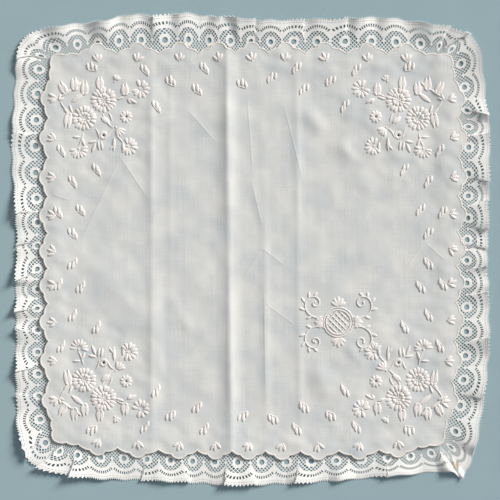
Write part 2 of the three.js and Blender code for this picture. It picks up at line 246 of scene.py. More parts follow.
def along_and_across(points: Array, cos: float, sin: float) -> tuple[Array, Array]:
    """How far plan points lie along a direction, given by its cosine and sine, and across it."""
    x, y = points[..., 0], points[..., 1]
    return x * cos + y * sin, y * cos - x * sin


def side_point(side: int, points: Array) -> tuple[Array, Array]:
    """Takes plan points to a side's frame, as places along it and distances out."""
    return along_and_across(points, *QUARTER_TURNS[side % len(SIDES)])


def corner_ahead(side: int, along: float, out: float) -> Pair:
    """Takes a place in the next side's frame to this side's, as a place along and a distance out."""
    along_here, out_here = side_point(side, plan_point(side + 1, along, out))
    return float(along_here), float(out_here)


def circle(steps: int) -> Array:
    """Plan points evenly round a circle of radius one, anticlockwise."""
    turns = 2 * math.pi * np.arange(steps) / steps
    return np.column_stack([np.cos(turns), np.sin(turns)])


def fill_loops(loops: list[Array], inner: Array) -> tuple[Array, Array]:
    """Fills a loop with triangles that follow the loops and points inside it.

    Args:
        loops: corners of the closed loops, the outermost first.
        inner: single points inside.

    Returns:
        The points, and the triangles on them, anticlockwise, with every inner loop filled too.
    """
    edges = []
    start = 0
    for loop in loops:
        count = len(loop)
        edges += [(start + step, start + (step + 1) % count) for step in range(count)]
        start += count
    given = [Vector(point) for point in np.concatenate([*loops, inner])]
    found = delaunay_2d_cdt(given, edges, [], 1, SAME_POINT)
    points = np.array([tuple(point) for point in found[0]])
    triangles = np.array(found[2])
    a, b, c = (points[triangles[:, corner]] for corner in range(3))
    turned = np.cross(b - a, c - a) < 0
    triangles[turned] = triangles[turned][:, ::-1]
    return points, triangles


def smooth(share: Array) -> Array:
    """Eases a share from 0 to 1 in and out."""
    return share * share * (3 - 2 * share)


@dataclass(frozen=True)
class EdgeShape:
    """Sizes of the lobed edge: one tall round lobe between two low shoulders, over and over."""

    lobe_half: float = 5.3
    foot_share: float = 0.5
    shoulder_round: float = 0.9
    end_shoulder: float = 13.5
    corner_round: float = 1.1
    lobe_steps: int = 14
    shoulder_steps: int = 8


@dataclass(frozen=True)
class LinenPlan:
    """Outline and heights of the linen.

    "cloth" is its thickness. The lace under it raises its edge by "lap_height", all of it up to
    "lap_flat" inside the notches and none from "lap_slope_end" on. Puckers fade out at "pucker_reach"
    from the edge and at "spray_fade" times a spray's reach, and a wrinkle's ends over "wrinkle_fade" of
    its length each way. Waves bend to each side by "wave_bend" of their length, once in "wave_swing".
    """

    edge_shape: EdgeShape = EdgeShape()
    cloth: float = 0.35
    lap_height: float = 0.45
    lap_flat: float = 4
    lap_slope_end: float = 19
    pucker_reach: float = 34
    spray_fade: float = 1.6
    wrinkle_fade: float = 0.25
    wave_bend: float = 0.22
    wave_swing: float = 2.7

    def side_end(self, side: int) -> Pair:
        """Where a side ends, along itself and outwards."""
        following = SIDES[(side + 1) % len(SIDES)]
        return corner_ahead(side, following.along, following.out)

    def notch_line(self, side: int, along: Array | float) -> Array:
        """How far out the line through the notches runs.

        Args:
            side: number of the side.
            along: places along it.

        Returns:
            The distances from the origin.
        """
        shape = SIDES[side % len(SIDES)]
        end_along, end_out = self.side_end(side)
        share = (along - shape.along) / (end_along - shape.along)
        from_middle = np.clip(2 * share - 1, -1, 1)
        straight = shape.out + (end_out - shape.out) * share
        return straight + shape.bow * (1 - from_middle**BOW_POWER)

    def inset(self, points: Array) -> Array:
        """How far plan points lie inside the line through the notches."""
        frames = [(side, *side_point(side, points)) for side in range(len(SIDES))]
        return np.min([self.notch_line(side, along) - out for side, along, out in frames], axis=0)

    def round_stretch(self, start: Pair, end: Pair, height: float, steps: int) -> list[Pair]:
        """Lays an arc over a straight stretch of the edge.

        Args:
            start: place along and rise where it sets out.
            end: the same where it ends.
            height: how far the arc stands off the stretch.
            steps: number of steps.

        Returns:
            Its points, without the last.
        """
        run, rise = end[0] - start[0], end[1] - start[1]
        chord = math.hypot(run, rise)
        radius = chord * chord / (8 * height) + height / 2
        half = math.asin(min(chord / (2 * radius), 1))
        points = []
        for step in range(steps):
            turn = half * (2 * step / steps - 1)
            forth = 0.5 + radius * math.sin(turn) / chord
            bulge = radius * (math.cos(turn) - math.cos(half)) / chord
            points.append((start[0] + run * forth - rise * bulge, start[1] + rise * forth + run * bulge))
        return points

    def corner_lobes(self, start: float, end: float) -> list[Pair]:
        """Lays two low lobes on the notch line.

        Args:
            start: where they begin.
            end: where they end.

        Returns:
            Their points, without the last.
        """
        size = self.edge_shape
        middle = (start + end) / 2
        first = self.round_stretch((start, 0), (middle, 0), size.corner_round, size.shoulder_steps)
        return first + self.round_stretch((middle, 0), (end, 0), size.corner_round, size.shoulder_steps)

    def edge_side(self, side: int) -> Array:
        """Lays out the lobed edge of a side.

        Args:
            side: its number.

        Returns:
            The plan points, up to the next corner.
        """
        size = self.edge_shape
        shape = SIDES[side]
        between = [(a + b) / 2 for a, b in zip(shape.lobes, shape.lobes[1:])]
        notches = [shape.lobes[0] - size.end_shoulder, *between, shape.lobes[-1] + size.end_shoulder]
        foot = shape.reach * size.foot_share
        points = self.corner_lobes(shape.along, notches[0])
        for lobe, before, after in zip(shape.lobes, notches, notches[1:]):
            left, right = (lobe - size.lobe_half, foot), (lobe + size.lobe_half, foot)
            points += self.round_stretch((before, 0), left, size.shoulder_round, size.shoulder_steps)
            points += self.round_stretch(left, right, shape.reach - foot, size.lobe_steps)
            points += self.round_stretch(right, (after, 0), size.shoulder_round, size.shoulder_steps)
        points += self.corner_lobes(notches[-1], self.side_end(side)[0])
        along, rise = np.array(points).T
        return plan_point(side, along, self.notch_line(side, along) + rise)

    def edge(self) -> Array:
        """The whole lobed edge, clockwise."""
        return np.concatenate([self.edge_side(side) for side in range(len(SIDES))])

    def crease_heights(self, points: Array) -> Array:
        """Works out the pressed creases.

        Args:
            points: plan points.

        Returns:
            The height of the highest crease at each.
        """
        span = SIDES[0].out + SIDES[2].out
        down = np.clip((SIDES[0].out - points[:, 1]) / span, 0, 1)
        ridges = []
        for crease in CREASES:
            place = down * (len(crease.heights) - 1)
            row = np.minimum(place.astype(int), len(crease.heights) - 2)
            heights = np.array(crease.heights)
            share = smooth(place - row)
            height = heights[row] * (1 - share) + heights[row + 1] * share
            offset = points[:, 0] - (crease.top + (crease.bottom - crease.top) * down)
            flank = np.where(offset < 0, crease.left, crease.right)
            ridges.append(height * np.clip(1 - np.abs(offset) / flank, 0, 1) ** 2)
        return np.max(ridges, axis=0)

    def soft_heights(self, points: Array) -> Array:
        """Works out the wrinkles, swells, ripples and puckers.

        Args:
            points: plan points.

        Returns:
            Their height at each, in all.
        """
        height = np.zeros(len(points))
        fade = self.wrinkle_fade
        for wrinkle in WRINKLES:
            start = np.array([wrinkle.x0, wrinkle.y0])
            run = np.array([wrinkle.x1, wrinkle.y1]) - start
            length = np.hypot(*run)
            share = (points - start) @ run / length**2
            across = (points - start) @ np.array([-run[1], run[0]]) / length
            ends = np.clip(np.minimum(share + fade, 1 + fade - share) / (2 * fade), 0, 1)
            height += wrinkle.height * smooth(ends) * np.exp(-((across / wrinkle.width) ** 2))
        for swell in SWELLS:
            turn = math.radians(swell.turn)
            x, y = along_and_across(points - (swell.x, swell.y), math.cos(turn), math.sin(turn))
            height += swell.height * np.exp(-((x / swell.long) ** 2) - (y / swell.short) ** 2)
        for ripple in RIPPLES:
            height += ripple.height * self.wave(points, ripple)
        from_spray = np.hypot(*(np.abs(points) - SPRAY_MIDDLE).T)
        by_spray = smooth(np.clip(self.spray_fade - from_spray / SPRAY_REACH, 0, 1))
        by_edge = smooth(np.clip(1 - self.inset(points) / self.pucker_reach, 0, 1))
        for ripple in PUCKERS:
            height += ripple.height * self.wave(points, ripple) * np.maximum(by_spray, by_edge)
        return height

    def wave(self, points: Array, ripple: Ripple) -> Array:
        """Works out an even wave, bent a little out of line.

        Args:
            points: plan points.
            ripple: the wave's sizes.

        Returns:
            Its height there, from 0 to 1.
        """
        turn = math.radians(ripple.turn)
        run, cross = along_and_across(points, math.cos(turn), math.sin(turn))
        swing = np.sin(2 * math.pi * cross / (self.wave_swing * ripple.length) + ripple.phase)
        bent = run + self.wave_bend * ripple.length * swing
        return (1 + np.cos(2 * math.pi * bent / ripple.length + ripple.phase)) / 2

    def lap(self, points: Array) -> Array:
        """How far the lace under the edge raises the linen over plan points."""
        slope = (self.lap_slope_end - self.inset(points)) / (self.lap_slope_end - self.lap_flat)
        return self.lap_height * smooth(np.clip(slope, 0, 1))

    def underside(self, points: Array) -> Array:
        """Height of the linen's underside over plan points."""
        return self.lap(points) + self.crease_heights(points) + self.soft_heights(points)

    def top(self, points: Array) -> Array:
        """Height of the linen's face over plan points."""
        return self.underside(points) + self.cloth


# Plan of the frill


@dataclass(frozen=True)
class Fold:
    """A fold of the frill: its repeat, its free edge, its height there and its length each way.

    "lean" is how far its crest tips over along the strip, and "slant" how far from it the crest runs
    into the seam. Lengths along the strip are in repeats.
    """

    repeat: float
    along: float
    out: float
    lift: float
    rise: float
    fall: float
    lean: float = 0
    slant: float = 0

    def reaches(self) -> Pair:
        """How far it reaches before its crest and after it, in repeats."""
        return self.rise, self.fall


FOLDS = (
    (
        Fold(-0.5, -158.5, 149.5, 1.5, 0.4, 0.4),
        Fold(0.3, -135.5, 156.5, 3.5, 0.5, 0.9),
        Fold(2.2, -104, 160, 5, 1, 0.9, 0, 0.3),
        Fold(3.5, -84.5, 165, 0.8, 0.5, 0.5),
        Fold(4.7, -65, 164, 2.5, 0.8, 0.5),
        Fold(5.6, -49.5, 166, 2.5, 0.4, 1),
        Fold(7.5, -21.5, 163, 3, 0.6, 0.4, 0, -0.6),
        Fold(8.3, -9.5, 163, 4, 0.4, 0.8, 0, 0.2),
        Fold(9.6, 8, 161, 2.5, 0.7, 1.8),
        Fold(12.1, 48.5, 161.5, 2.5, 0.8, 1),
        Fold(13.5, 75.5, 162.5, 3.2, 0.5, 0.8),
        Fold(14.6, 95, 162.5, 2.2, 0.5, 0.8),
        Fold(16.5, 127, 158, 4.5, 1.2, 0.7),
        Fold(17.5, 143.5, 155, 2, 0.5, 0.5),
    ),
    (
        Fold(18.4, -149, 156.5, 1.5, 0.4, 0.4),
        Fold(18.8, -139, 161.5, 3, 0.4, 1.6),
        Fold(21.1, -95.5, 167, 3, 0.6, 0.7),
        Fold(22.5, -79, 168.5, 0.6, 0.5, 0.5),
        Fold(24.2, -49.5, 168, 3, 1.3, 0.9),
        Fold(26, -21.5, 167.5, 3, 0.8, 1),
        Fold(28.3, 13, 166.5, 3, 1, 0.4),
        Fold(29.2, 27.5, 167.5, 2.5, 0.5, 1),
        Fold(31.4, 65, 168, 3.2, 1.2, 0.8),
        Fold(33.3, 97, 165.5, 2.5, 1, 0.8),
        Fold(35.3, 139, 158.5, 3.5, 1.4, 0.5),
    ),
    (
        Fold(36.9, -149, 161.5, 2, 0.4, 0.3),
        Fold(37.5, -141, 157, 4.5, 0.5, 0.6),
        Fold(39.5, -104, 159.5, 3, 1.1, 1.6),
        Fold(41.8, -63.5, 163, 3, 0.7, 0.6),
        Fold(43.5, -34, 165, 2.5, 1.1, 0.6),
        Fold(46, 9, 166.5, 3, 1.8, 1.4),
        Fold(49.5, 64, 163.5, 3, 1.8, 0.5),
        Fold(53.1, 122, 160.5, 3.5, 2.4, 0.8),
    ),
    (
        Fold(54.8, -151.5, 153.5, 0.8, 0.4, 0.3),
        Fold(55.4, -132.5, 163, 3.5, 0.4, 1.2),
        Fold(58.3, -83, 165, 3, 1.3, 0.8),
        Fold(59.9, -59, 165, 2.5, 0.6, 0.5),
        Fold(60.9, -43, 165.5, 3, 0.5, 0.9),
        Fold(62.5, -21.5, 165, 3.5, 0.4, 1.4),
        Fold(65.5, 26.5, 165, 3.5, 1.2, 1.8),
        Fold(67.3, 58.5, 168, 0.6, 0.5, 0.5),
        Fold(68.7, 84.5, 167.5, 2, 0.9, 1.2),
        Fold(71.2, 130.5, 164.5, 2.5, 0.8, 0.8),
    ),
)


@dataclass(frozen=True)
class Tuck:
    """A sharp pleat that tips over its neighbour: its repeat, its height, length, lean and slant.

    "short_share" is its short flank over its long one.
    """

    repeat: float
    lift: float
    length: float
    lean: float
    slant: float = 0
    short_share: float = 0.5

    def reaches(self) -> Pair:
        """How far it reaches before its crest and after it, in repeats."""
        short = self.length * self.short_share
        return (self.length, short) if self.lean > 0 else (short, self.length)


TUCKS = (
    Tuck(4.8, 1.2, 0.5, -0.3, -0.4),
    Tuck(7.85, 2.2, 0.5, -0.35, -0.6),
    Tuck(8.9, 1.8, 0.55, 0.4, 0.4),
    Tuck(11.2, 1.2, 0.45, 0.3, 0.1),
    Tuck(12.8, 1.4, 0.5, 0.3, 0.25),
    Tuck(17, 1.8, 0.4, 0.3),
    Tuck(17.8, 2.4, 0.5, 0.5, -0.4),
    Tuck(20.9, 2.2, 0.5, 0.4),
    Tuck(22.6, 1.2, 0.4, -0.3),
    Tuck(24.1, 1.4, 0.45, 0.3),
    Tuck(25.4, 1.2, 0.4, -0.3, 0.2),
    Tuck(26.3, 1.4, 0.5, 0.3),
    Tuck(27.1, 1.8, 0.5, 0.35, 0.2),
    Tuck(28.5, 1.4, 0.4, -0.3),
    Tuck(29.6, 1.2, 0.4, -0.3),
    Tuck(31.5, 1.4, 0.5, -0.3),
    Tuck(33.4, 1.4, 0.5, 0.3, 0.2),
    Tuck(40.2, 1.2, 0.4, -0.3, -0.2),
    Tuck(43.4, 1.2, 0.45, 0.3),
    Tuck(45.5, 1.4, 0.5, -0.3),
    Tuck(46.3, 1.4, 0.4, 0.3, 0.2),
    Tuck(48.4, 1.4, 0.5, -0.3),
    Tuck(50, 1.4, 0.4, 0.3),
    Tuck(53.05, 1.8, 0.5, 0.35),
    Tuck(54, 3.6, 0.7, 0.65, 0.35),
    Tuck(55.2, 1.4, 0.4, -0.3, 0.3),
    Tuck(56.8, 1.7, 0.5, 0.35, 0.2),
    Tuck(58.4, 1.4, 0.5, -0.3),
    Tuck(59.8, 1.8, 0.5, 0.35),
    Tuck(61.2, 2.2, 0.5, -0.4, -0.2),
    Tuck(62.8, 2.2, 0.5, -0.4, 0.2),
    Tuck(63.6, 1.4, 0.4, 0.3, 0.3),
    Tuck(64.3, 1.4, 0.5, -0.3),
    Tuck(65.7, 1.6, 0.5, -0.35, -0.2),
    Tuck(68.3, 1.2, 0.4, 0.3),
    Tuck(71.9, 2.8, 0.6, -0.6),
)

# The flat strip: its number of repeats, the length of one, and its width.
REPEATS = 73
STRIP_PITCH = 18.5
STRIP_WIDTH = 27


@dataclass
class FrillPlan:
    """Takes places of the flat lace strip to the gathered frill.

    The seam is "tuck_under" inside the notches, and draws in by "corner_inset" at the corners, from
    "gather_from" along each side. A fold rises from "lift_from" across the strip. Small ripples sway
    along the seam, by "ripple_sway" at "ripple_sway_rate", and set in over "ripple_start".
    """

    linen: LinenPlan
    gather_from: float = 126
    tuck_under: float = 2
    corner_inset: float = 4
    lift_from: float = 7
    lift_power: float = 1.25
    ripple: float = 0.2
    ripples_a_repeat: float = 1.6
    ripple_sway: float = 1.3
    ripple_sway_rate: float = 0.37
    ripple_start: float = 6
    probe: float = 0.002
    folds: list[Fold] = field(init=False)
    places: Array = field(init=False)
    edges: Array = field(init=False)
    seams: Array = field(init=False)

    def __post_init__(self) -> None:
        """Lays out the stations of the folds, with a lap of them before and after."""
        self.folds, edges, seams = [], [], []
        for side, rows in enumerate(FOLDS):
            following = FOLDS[(side + 1) % len(FOLDS)][0]
            last_along = corner_ahead(side, following.along, following.out)[0]
            for fold in rows:
                before_middle = fold.along < 0
                end = SIDES[side].along if before_middle else self.linen.side_end(side)[0]
                reach = abs(rows[0].along if before_middle else last_along)
                past = max(abs(fold.along) - self.gather_from, 0) / (reach - self.gather_from)
                inset = self.tuck_under + (self.corner_inset - self.tuck_under) * past
                seam_along = fold.along
                if past:
                    closing = (abs(end) - self.corner_inset - self.gather_from) * past
                    seam_along = np.sign(seam_along) * (self.gather_from + closing)
                seam_out = self.linen.notch_line(side, seam_along) - inset
                self.folds.append(fold)
                edges.append(plan_point(side, fold.along, fold.out))
                seams.append(plan_point(side, seam_along, seam_out))
        own = np.array([fold.repeat for fold in self.folds])
        self.places = np.concatenate([own - REPEATS, own, own + REPEATS])
        self.edges = np.tile(np.array(edges), (3, 1))
        self.seams = np.tile(np.array(seams), (3, 1))

    def run(self, values: Array, repeat: Array) -> Array:
        """A smooth run through the stations.

        Args:
            values: a plan point for each station, in three laps.
            repeat: places along the strip, in repeats.

        Returns:
            The plan points there.
        """
        index = np.clip(np.searchsorted(self.places, repeat) - 1, 1, len(self.places) - 3)
        places = [self.places[index + step] for step in (-1, 0, 1, 2)]
        four = [values[index + step] for step in (-1, 0, 1, 2)]
        span = places[2] - places[1]
        share = ((repeat - places[1]) / span)[:, None]
        slope_in = (four[2] - four[0]) / (places[2] - places[0])[:, None]
        slope_out = (four[3] - four[1]) / (places[3] - places[1])[:, None]
        square, cube = share**2, share**3
        return (
            (2 * cube - 3 * square + 1) * four[1]
            + (cube - 2 * square + share) * span[:, None] * slope_in
            + (3 * square - 2 * cube) * four[2]
            + (cube - square) * span[:, None] * slope_out
        )

    def lay(self, repeat: Array, across: Array) -> Array:
        """Places of the frill's underside.

        Args:
            repeat: places along the strip, in repeats.
            across: distances across it, from the hidden header.

        Returns:
            Points with x, y and z.
        """
        share = across / STRIP_WIDTH
        past_seam = (across - self.lift_from) / (STRIP_WIDTH - self.lift_from)
        raised = np.clip(past_seam, 0, 1) ** self.lift_power
        height = np.zeros(len(repeat))
        leaning = np.zeros(len(repeat))
        for pleat in (*self.folds, *TUCKS):
            before, after = pleat.reaches()
            crest = pleat.repeat + pleat.slant * (1 - share)
            offset = (repeat - crest + REPEATS / 2) % REPEATS - REPEATS / 2
            from_crest = np.clip(np.abs(offset) / np.where(offset < 0, before, after), 0, 1)
            bell = np.cos(from_crest * math.pi / 2) ** 2
            height += pleat.lift * bell
            leaning += pleat.lean * bell
        moved = repeat + leaning * raised
        from_seam = self.run(self.seams, moved) * (1 - share)[:, None]
        plan = from_seam + self.run(self.edges, moved) * share[:, None]
        turns = 2 * math.pi * self.ripples_a_repeat
        sway = self.ripple_sway * np.sin(turns * repeat * self.ripple_sway_rate)
        wave = np.sin(turns * repeat + sway)
        ripple = self.ripple * (1 + wave) / 2 * np.clip(1 - share, 0, 1)
        ripple *= np.clip(across / self.ripple_start, 0, 1)
        return np.column_stack([plan, height * raised + ripple])

    def upright(self, repeat: Array, across: Array) -> Array:
        """Works out the directions straight up from the lace.

        Args:
            repeat: places along the strip, in repeats.
            across: distances across it.

        Returns:
            A direction of length one for each.
        """
        step = self.probe
        ahead = self.lay(repeat + step, across) - self.lay(repeat - step, across)
        reach = step * STRIP_PITCH
        outward = self.lay(repeat, across + reach) - self.lay(repeat, across - reach)
        normal = np.cross(outward, ahead)
        return normal / np.linalg.norm(normal, axis=1)[:, None]


@dataclass
class LaceCell:
    """One repeat of the lace laid flat: an eye in a ring, a net, an arch, a ladder and picots.

    "s" runs along the strip from the middle of the repeat and "t" across it from the header. A
    "level" is a place on t, a "crown" the radius where the relief is highest, and a "half" half a
    width.
    """

    eye_level: float = 10.4
    eye_half: Pair = (2, 1.85)
    eye_steps: int = 16
    ring_edge: float = 3.9
    ring_crown: float = 2.95
    ring_steps: int = 14
    lattice_columns: int = 7
    lattice_rise: float = 1.32
    lattice_half: float = 1
    lattice_first: float = 1.56
    smallest_hole: float = 0.4
    arch_level: float = 8.7
    net_reach: float = 9.1
    arch_crown: float = 10.25
    arch_span: float = 1
    arch_steps: int = 13
    ladder_reach: Pair = (11.4, 13.3)
    ladder_slots: int = 11
    ladder_turn: float = math.radians(8)
    slot_half: float = 0.48
    rim_crown: float = 14
    rim_span: float = 0.68
    rim_steps: int = 11
    picots: int = 11
    picot_reach: float = 1.1
    picot_half: float = 0.55
    scallop: float = 0.5
    header_points: int = 5
    border_levels: tuple[float, ...] = (10.3, 11.8, 13.4, 15.2, 17.4, 20, 22.6)
    net_thickness: float = 0.3
    solid_thickness: float = 0.42
    ring_thickness: float = 0.5
    solid_margin: float = 0.4
    crown_rise: float = 0.25
    crown_half: float = 0.3
    points: Array = field(init=False)
    triangles: Array = field(init=False)

    def edge_level(self, s: Array | float) -> Array:
        """How far across the solid edge runs, below the picots."""
        swell = self.scallop * (np.cos(2 * math.pi * s / STRIP_PITCH) - 1)
        return STRIP_WIDTH - self.picot_reach + swell

    def trim(self, hole: Array, toward: Array, level: float) -> Array:
        """Cuts off what a convex hole has beyond a straight line.

        Args:
            hole: its corners.
            toward: direction square to the line.
            level: how far the line lies from the origin in that direction.

        Returns:
            The corners that are left, and the new ones.
        """
        beyond = hole @ toward - level
        kept = []
        for index, (corner, over) in enumerate(zip(hole, beyond)):
            following = (index + 1) % len(hole)
            if over <= 0:
                kept.append(corner)
            if over * beyond[following] < 0:
                share = over / (over - beyond[following])
                kept.append(corner + (hole[following] - corner) * share)
        return np.array(kept)

    def area(self, hole: Array) -> float:
        """Area of a hole."""
        ahead = np.roll(hole, -1, axis=0)
        return abs(float(np.sum(hole[:, 0] * ahead[:, 1] - ahead[:, 0] * hole[:, 1]))) / 2

    def lattice(self) -> tuple[list[Array], list[float]]:
        """Lays out the diamond net, trimmed round the ring and under the arch.

        Returns:
            The holes inside the repeat, and the levels of the holes that its border cuts in half.
        """
        half = STRIP_PITCH / 2
        column = STRIP_PITCH / self.lattice_columns
        diamond = self.lattice_half * np.array([(1, 0), (0, 1), (-1, 0), (0, -1)])
        eye = np.array([0, self.eye_level])
        arch = np.array([0, self.arch_level])
        holes, cut = [], []
        rows = int((self.arch_level + self.net_reach) / self.lattice_rise)
        for row in range(rows):
            t = self.lattice_first + row * self.lattice_rise
            shift = 0.5 if row % 2 == 0 else 0
            for step in range(self.lattice_columns):
                middle = np.array([(step + shift) * column - half, t])
                if not shift and not step:
                    if t < self.arch_level + self.lattice_half:
                        cut.append(t)
                    continue
                hole = diamond + middle
                from_eye = (middle - eye) / np.hypot(*(middle - eye))
                hole = self.trim(hole, -from_eye, -(from_eye @ eye + self.ring_edge))
                if len(hole) and t > self.arch_level:
                    from_arch = (middle - arch) / np.hypot(*(middle - arch))
                    hole = self.trim(hole, from_arch, from_arch @ arch + self.net_reach)
                if len(hole) and self.area(hole) > self.smallest_hole:
                    holes.append(hole)
        return holes, cut

    def round_holes(self) -> list[Array]:
        """Lays out the eye and the slots of the ladder.

        Returns:
            The corners of each.
        """
        holes = [circle(self.eye_steps) * self.eye_half + (0, self.eye_level)]
        near, far = self.ladder_reach
        for slot in range(self.ladder_slots):
            turn = (slot - (self.ladder_slots - 1) / 2) * self.ladder_turn
            forth = np.array([math.sin(turn), math.cos(turn)])
            side = np.array([math.cos(turn), -math.sin(turn)]) * self.slot_half
            corners = [forth * near + side, forth * far + side, forth * far - side, forth * near - side]
            holes.append(np.array(corners) + (0, self.arch_level))
        return holes

    def outline(self, cut: list[float]) -> Array:
        """Lays out the border of the repeat, with the halves of the cut holes and the picots.

        Args:
            cut: levels of the cut holes.

        Returns:
            The border's corners, anticlockwise.
        """
        half = STRIP_PITCH / 2
        side = []
        for t in cut:
            low, high = t - self.lattice_half, t + self.lattice_half
            side += [(half, low), (half - self.lattice_half, t), (half, high)]
        side += [(half, t) for t in self.border_levels]
        header = [(s, 0) for s in np.linspace(-half, half, self.header_points)]
        end_level = float(self.edge_level(half))
        far = [(half, end_level)]
        for picot in reversed(range(self.picots)):
            s = (picot + 0.5) * STRIP_PITCH / self.picots - half
            base = float(self.edge_level(s))
            tip = (s, base + self.picot_reach)
            far += [(s + self.picot_half, base), tip, (s - self.picot_half, base)]
        far.append((-half, end_level))
        mirrored = [(-s, t) for s, t in reversed(side)]
        return np.array(header + side + far + mirrored)

    def arc(self, radius: float, span: float, steps: int) -> Array:
        """Points of an arc over the arch's middle, as far to each side as the span in radians."""
        turns = np.linspace(-span, span, steps)
        return radius * np.column_stack([np.sin(turns), np.cos(turns)]) + (0, self.arch_level)

    def crowns(self) -> Array:
        """Lays out the lines where the relief is highest.

        Returns:
            Points on them.
        """
        ring = self.ring_crown * circle(self.ring_steps) + (0, self.eye_level)
        arch = self.arc(self.arch_crown, self.arch_span, self.arch_steps)
        rim = self.arc(self.rim_crown, self.rim_span, self.rim_steps)
        return np.concatenate([ring, arch, rim])

    def triangulate(self) -> None:
        """Fills the repeat between its holes with triangles."""
        lattice, cut = self.lattice()
        holes = [*lattice, *self.round_holes()]
        self.points, triangles = fill_loops([self.outline(cut), *holes], self.crowns())
        middles = self.points[triangles].mean(axis=1)
        self.triangles = triangles[[not self.in_hole(middle, holes) for middle in middles]]

    def flat_area(self) -> float:
        """Area of the whole strip laid flat, without its holes, in square metres."""
        a, b, c = (self.points[self.triangles[:, corner]] for corner in range(3))
        return float(np.abs(np.cross(b - a, c - a)).sum()) / 2 * REPEATS * MM * MM

    def in_hole(self, place: Array, holes: list[Array]) -> bool:
        """Tells whether a place lies in one of the holes, which are all convex."""
        turns = (np.cross(np.roll(hole, -1, axis=0) - hole, place - hole) for hole in holes)
        return any(np.all(turn > 0) or np.all(turn < 0) for turn in turns)

    def thickness(self, s: Array, t: Array) -> Array:
        """Works out the relief: thin net, fuller arches, and a padded ring around the eye.

        Args:
            s: places along the strip from the middle of the repeat.
            t: places across it.

        Returns:
            The thickness at each.
        """
        from_eye = np.hypot(s, t - self.eye_level)
        from_arch = np.hypot(s, t - self.arch_level)
        thick = np.full(len(s), self.net_thickness)
        over_arch = t > self.arch_level
        thick[(from_arch > self.net_reach - self.solid_margin) & over_arch] = self.solid_thickness
        thick[from_eye < self.ring_edge] = self.ring_thickness
        crowns = ((from_eye, self.ring_crown), (from_arch, self.arch_crown), (from_arch, self.rim_crown))
        for distance, crown in crowns:
            thick[(np.abs(distance - crown) < self.crown_half) & over_arch] += self.crown_rise
        return thick


# Meshes from plans


@dataclass
class ClosedSheet:
    """A sheet of cloth between an under and a top face, with walls at every free edge."""

    name: str
    under: Array
    top: Array
    triangles: Array
    corner_uv: Array

    def build(self) -> Piece:
        """Makes the closed mesh, with a map of the flat cloth.

        Returns:
            The piece.
        """
        count = len(self.under)
        starts = self.triangles.ravel()
        ends = np.roll(self.triangles, -1, axis=1).ravel()
        free = ~np.isin(starts * count + ends, ends * count + starts)
        start_uv = self.corner_uv.reshape(-1, 2)
        end_uv = np.roll(self.corner_uv, -1, axis=1).reshape(-1, 2)
        a, b = starts[free], ends[free]
        lower, upper = np.column_stack([a, b, b + count]), np.column_stack([a, b + count, a + count])
        uv_a, uv_b = start_uv[free], end_uv[free]
        wall_uv = np.concatenate([np.stack([uv_a, uv_b, uv_b], 1), np.stack([uv_a, uv_b, uv_a], 1)])
        faces = np.concatenate([self.triangles + count, self.triangles[:, ::-1], lower, upper])
        uv = np.concatenate([self.corner_uv, self.corner_uv[:, ::-1], wall_uv])
        points = np.concatenate([self.under, self.top])
        return mesh_object(self.name, points, faces.tolist(), uv.reshape(-1, 2))


def mesh_object(name: str, points: Array, faces: list[list[int]], uv: Array) -> Piece:
    """Makes an object at the origin from plan points in millimetres.

    Args:
        name: name of the piece.
        points: x, y and z of each vertex.
        faces: vertex numbers of each face.
        uv: map place of each corner of each face, in millimetres.

    Returns:
        The object, linked to the scene.
    """
    mesh = bpy.data.meshes.new(name)
    mesh.from_pydata((points * MM).tolist(), [], faces)
    layer = mesh.uv_layers.new(name="flat_cloth")
    layer.data.foreach_set("uv", (uv * MM).ravel())
    mesh.validate()
    mesh.update()
    piece = bpy.data.objects.new(name, mesh)
    bpy.context.scene.collection.objects.link(piece)
    return piece


def dress(piece: Piece, material: bpy.types.Material, slot: Slot) -> None:
    """Smooths a piece, gives it its material, and lets it ride on the part.

    Args:
        piece: the finished object.
        material: its material.
        slot: the record's slot for it; not used.
    """
    bpy.ops.object.select_all(action="DESELECT")
    piece.select_set(True)
    bpy.context.view_layer.objects.active = piece
    bpy.ops.object.shade_smooth_by_angle(angle=SMOOTH_ANGLE)
    piece.data.materials.append(material)
    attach(piece, BODY)
    log.info("%s: %d vertices, %d faces", piece.name, len(piece.data.vertices), len(piece.data.polygons))


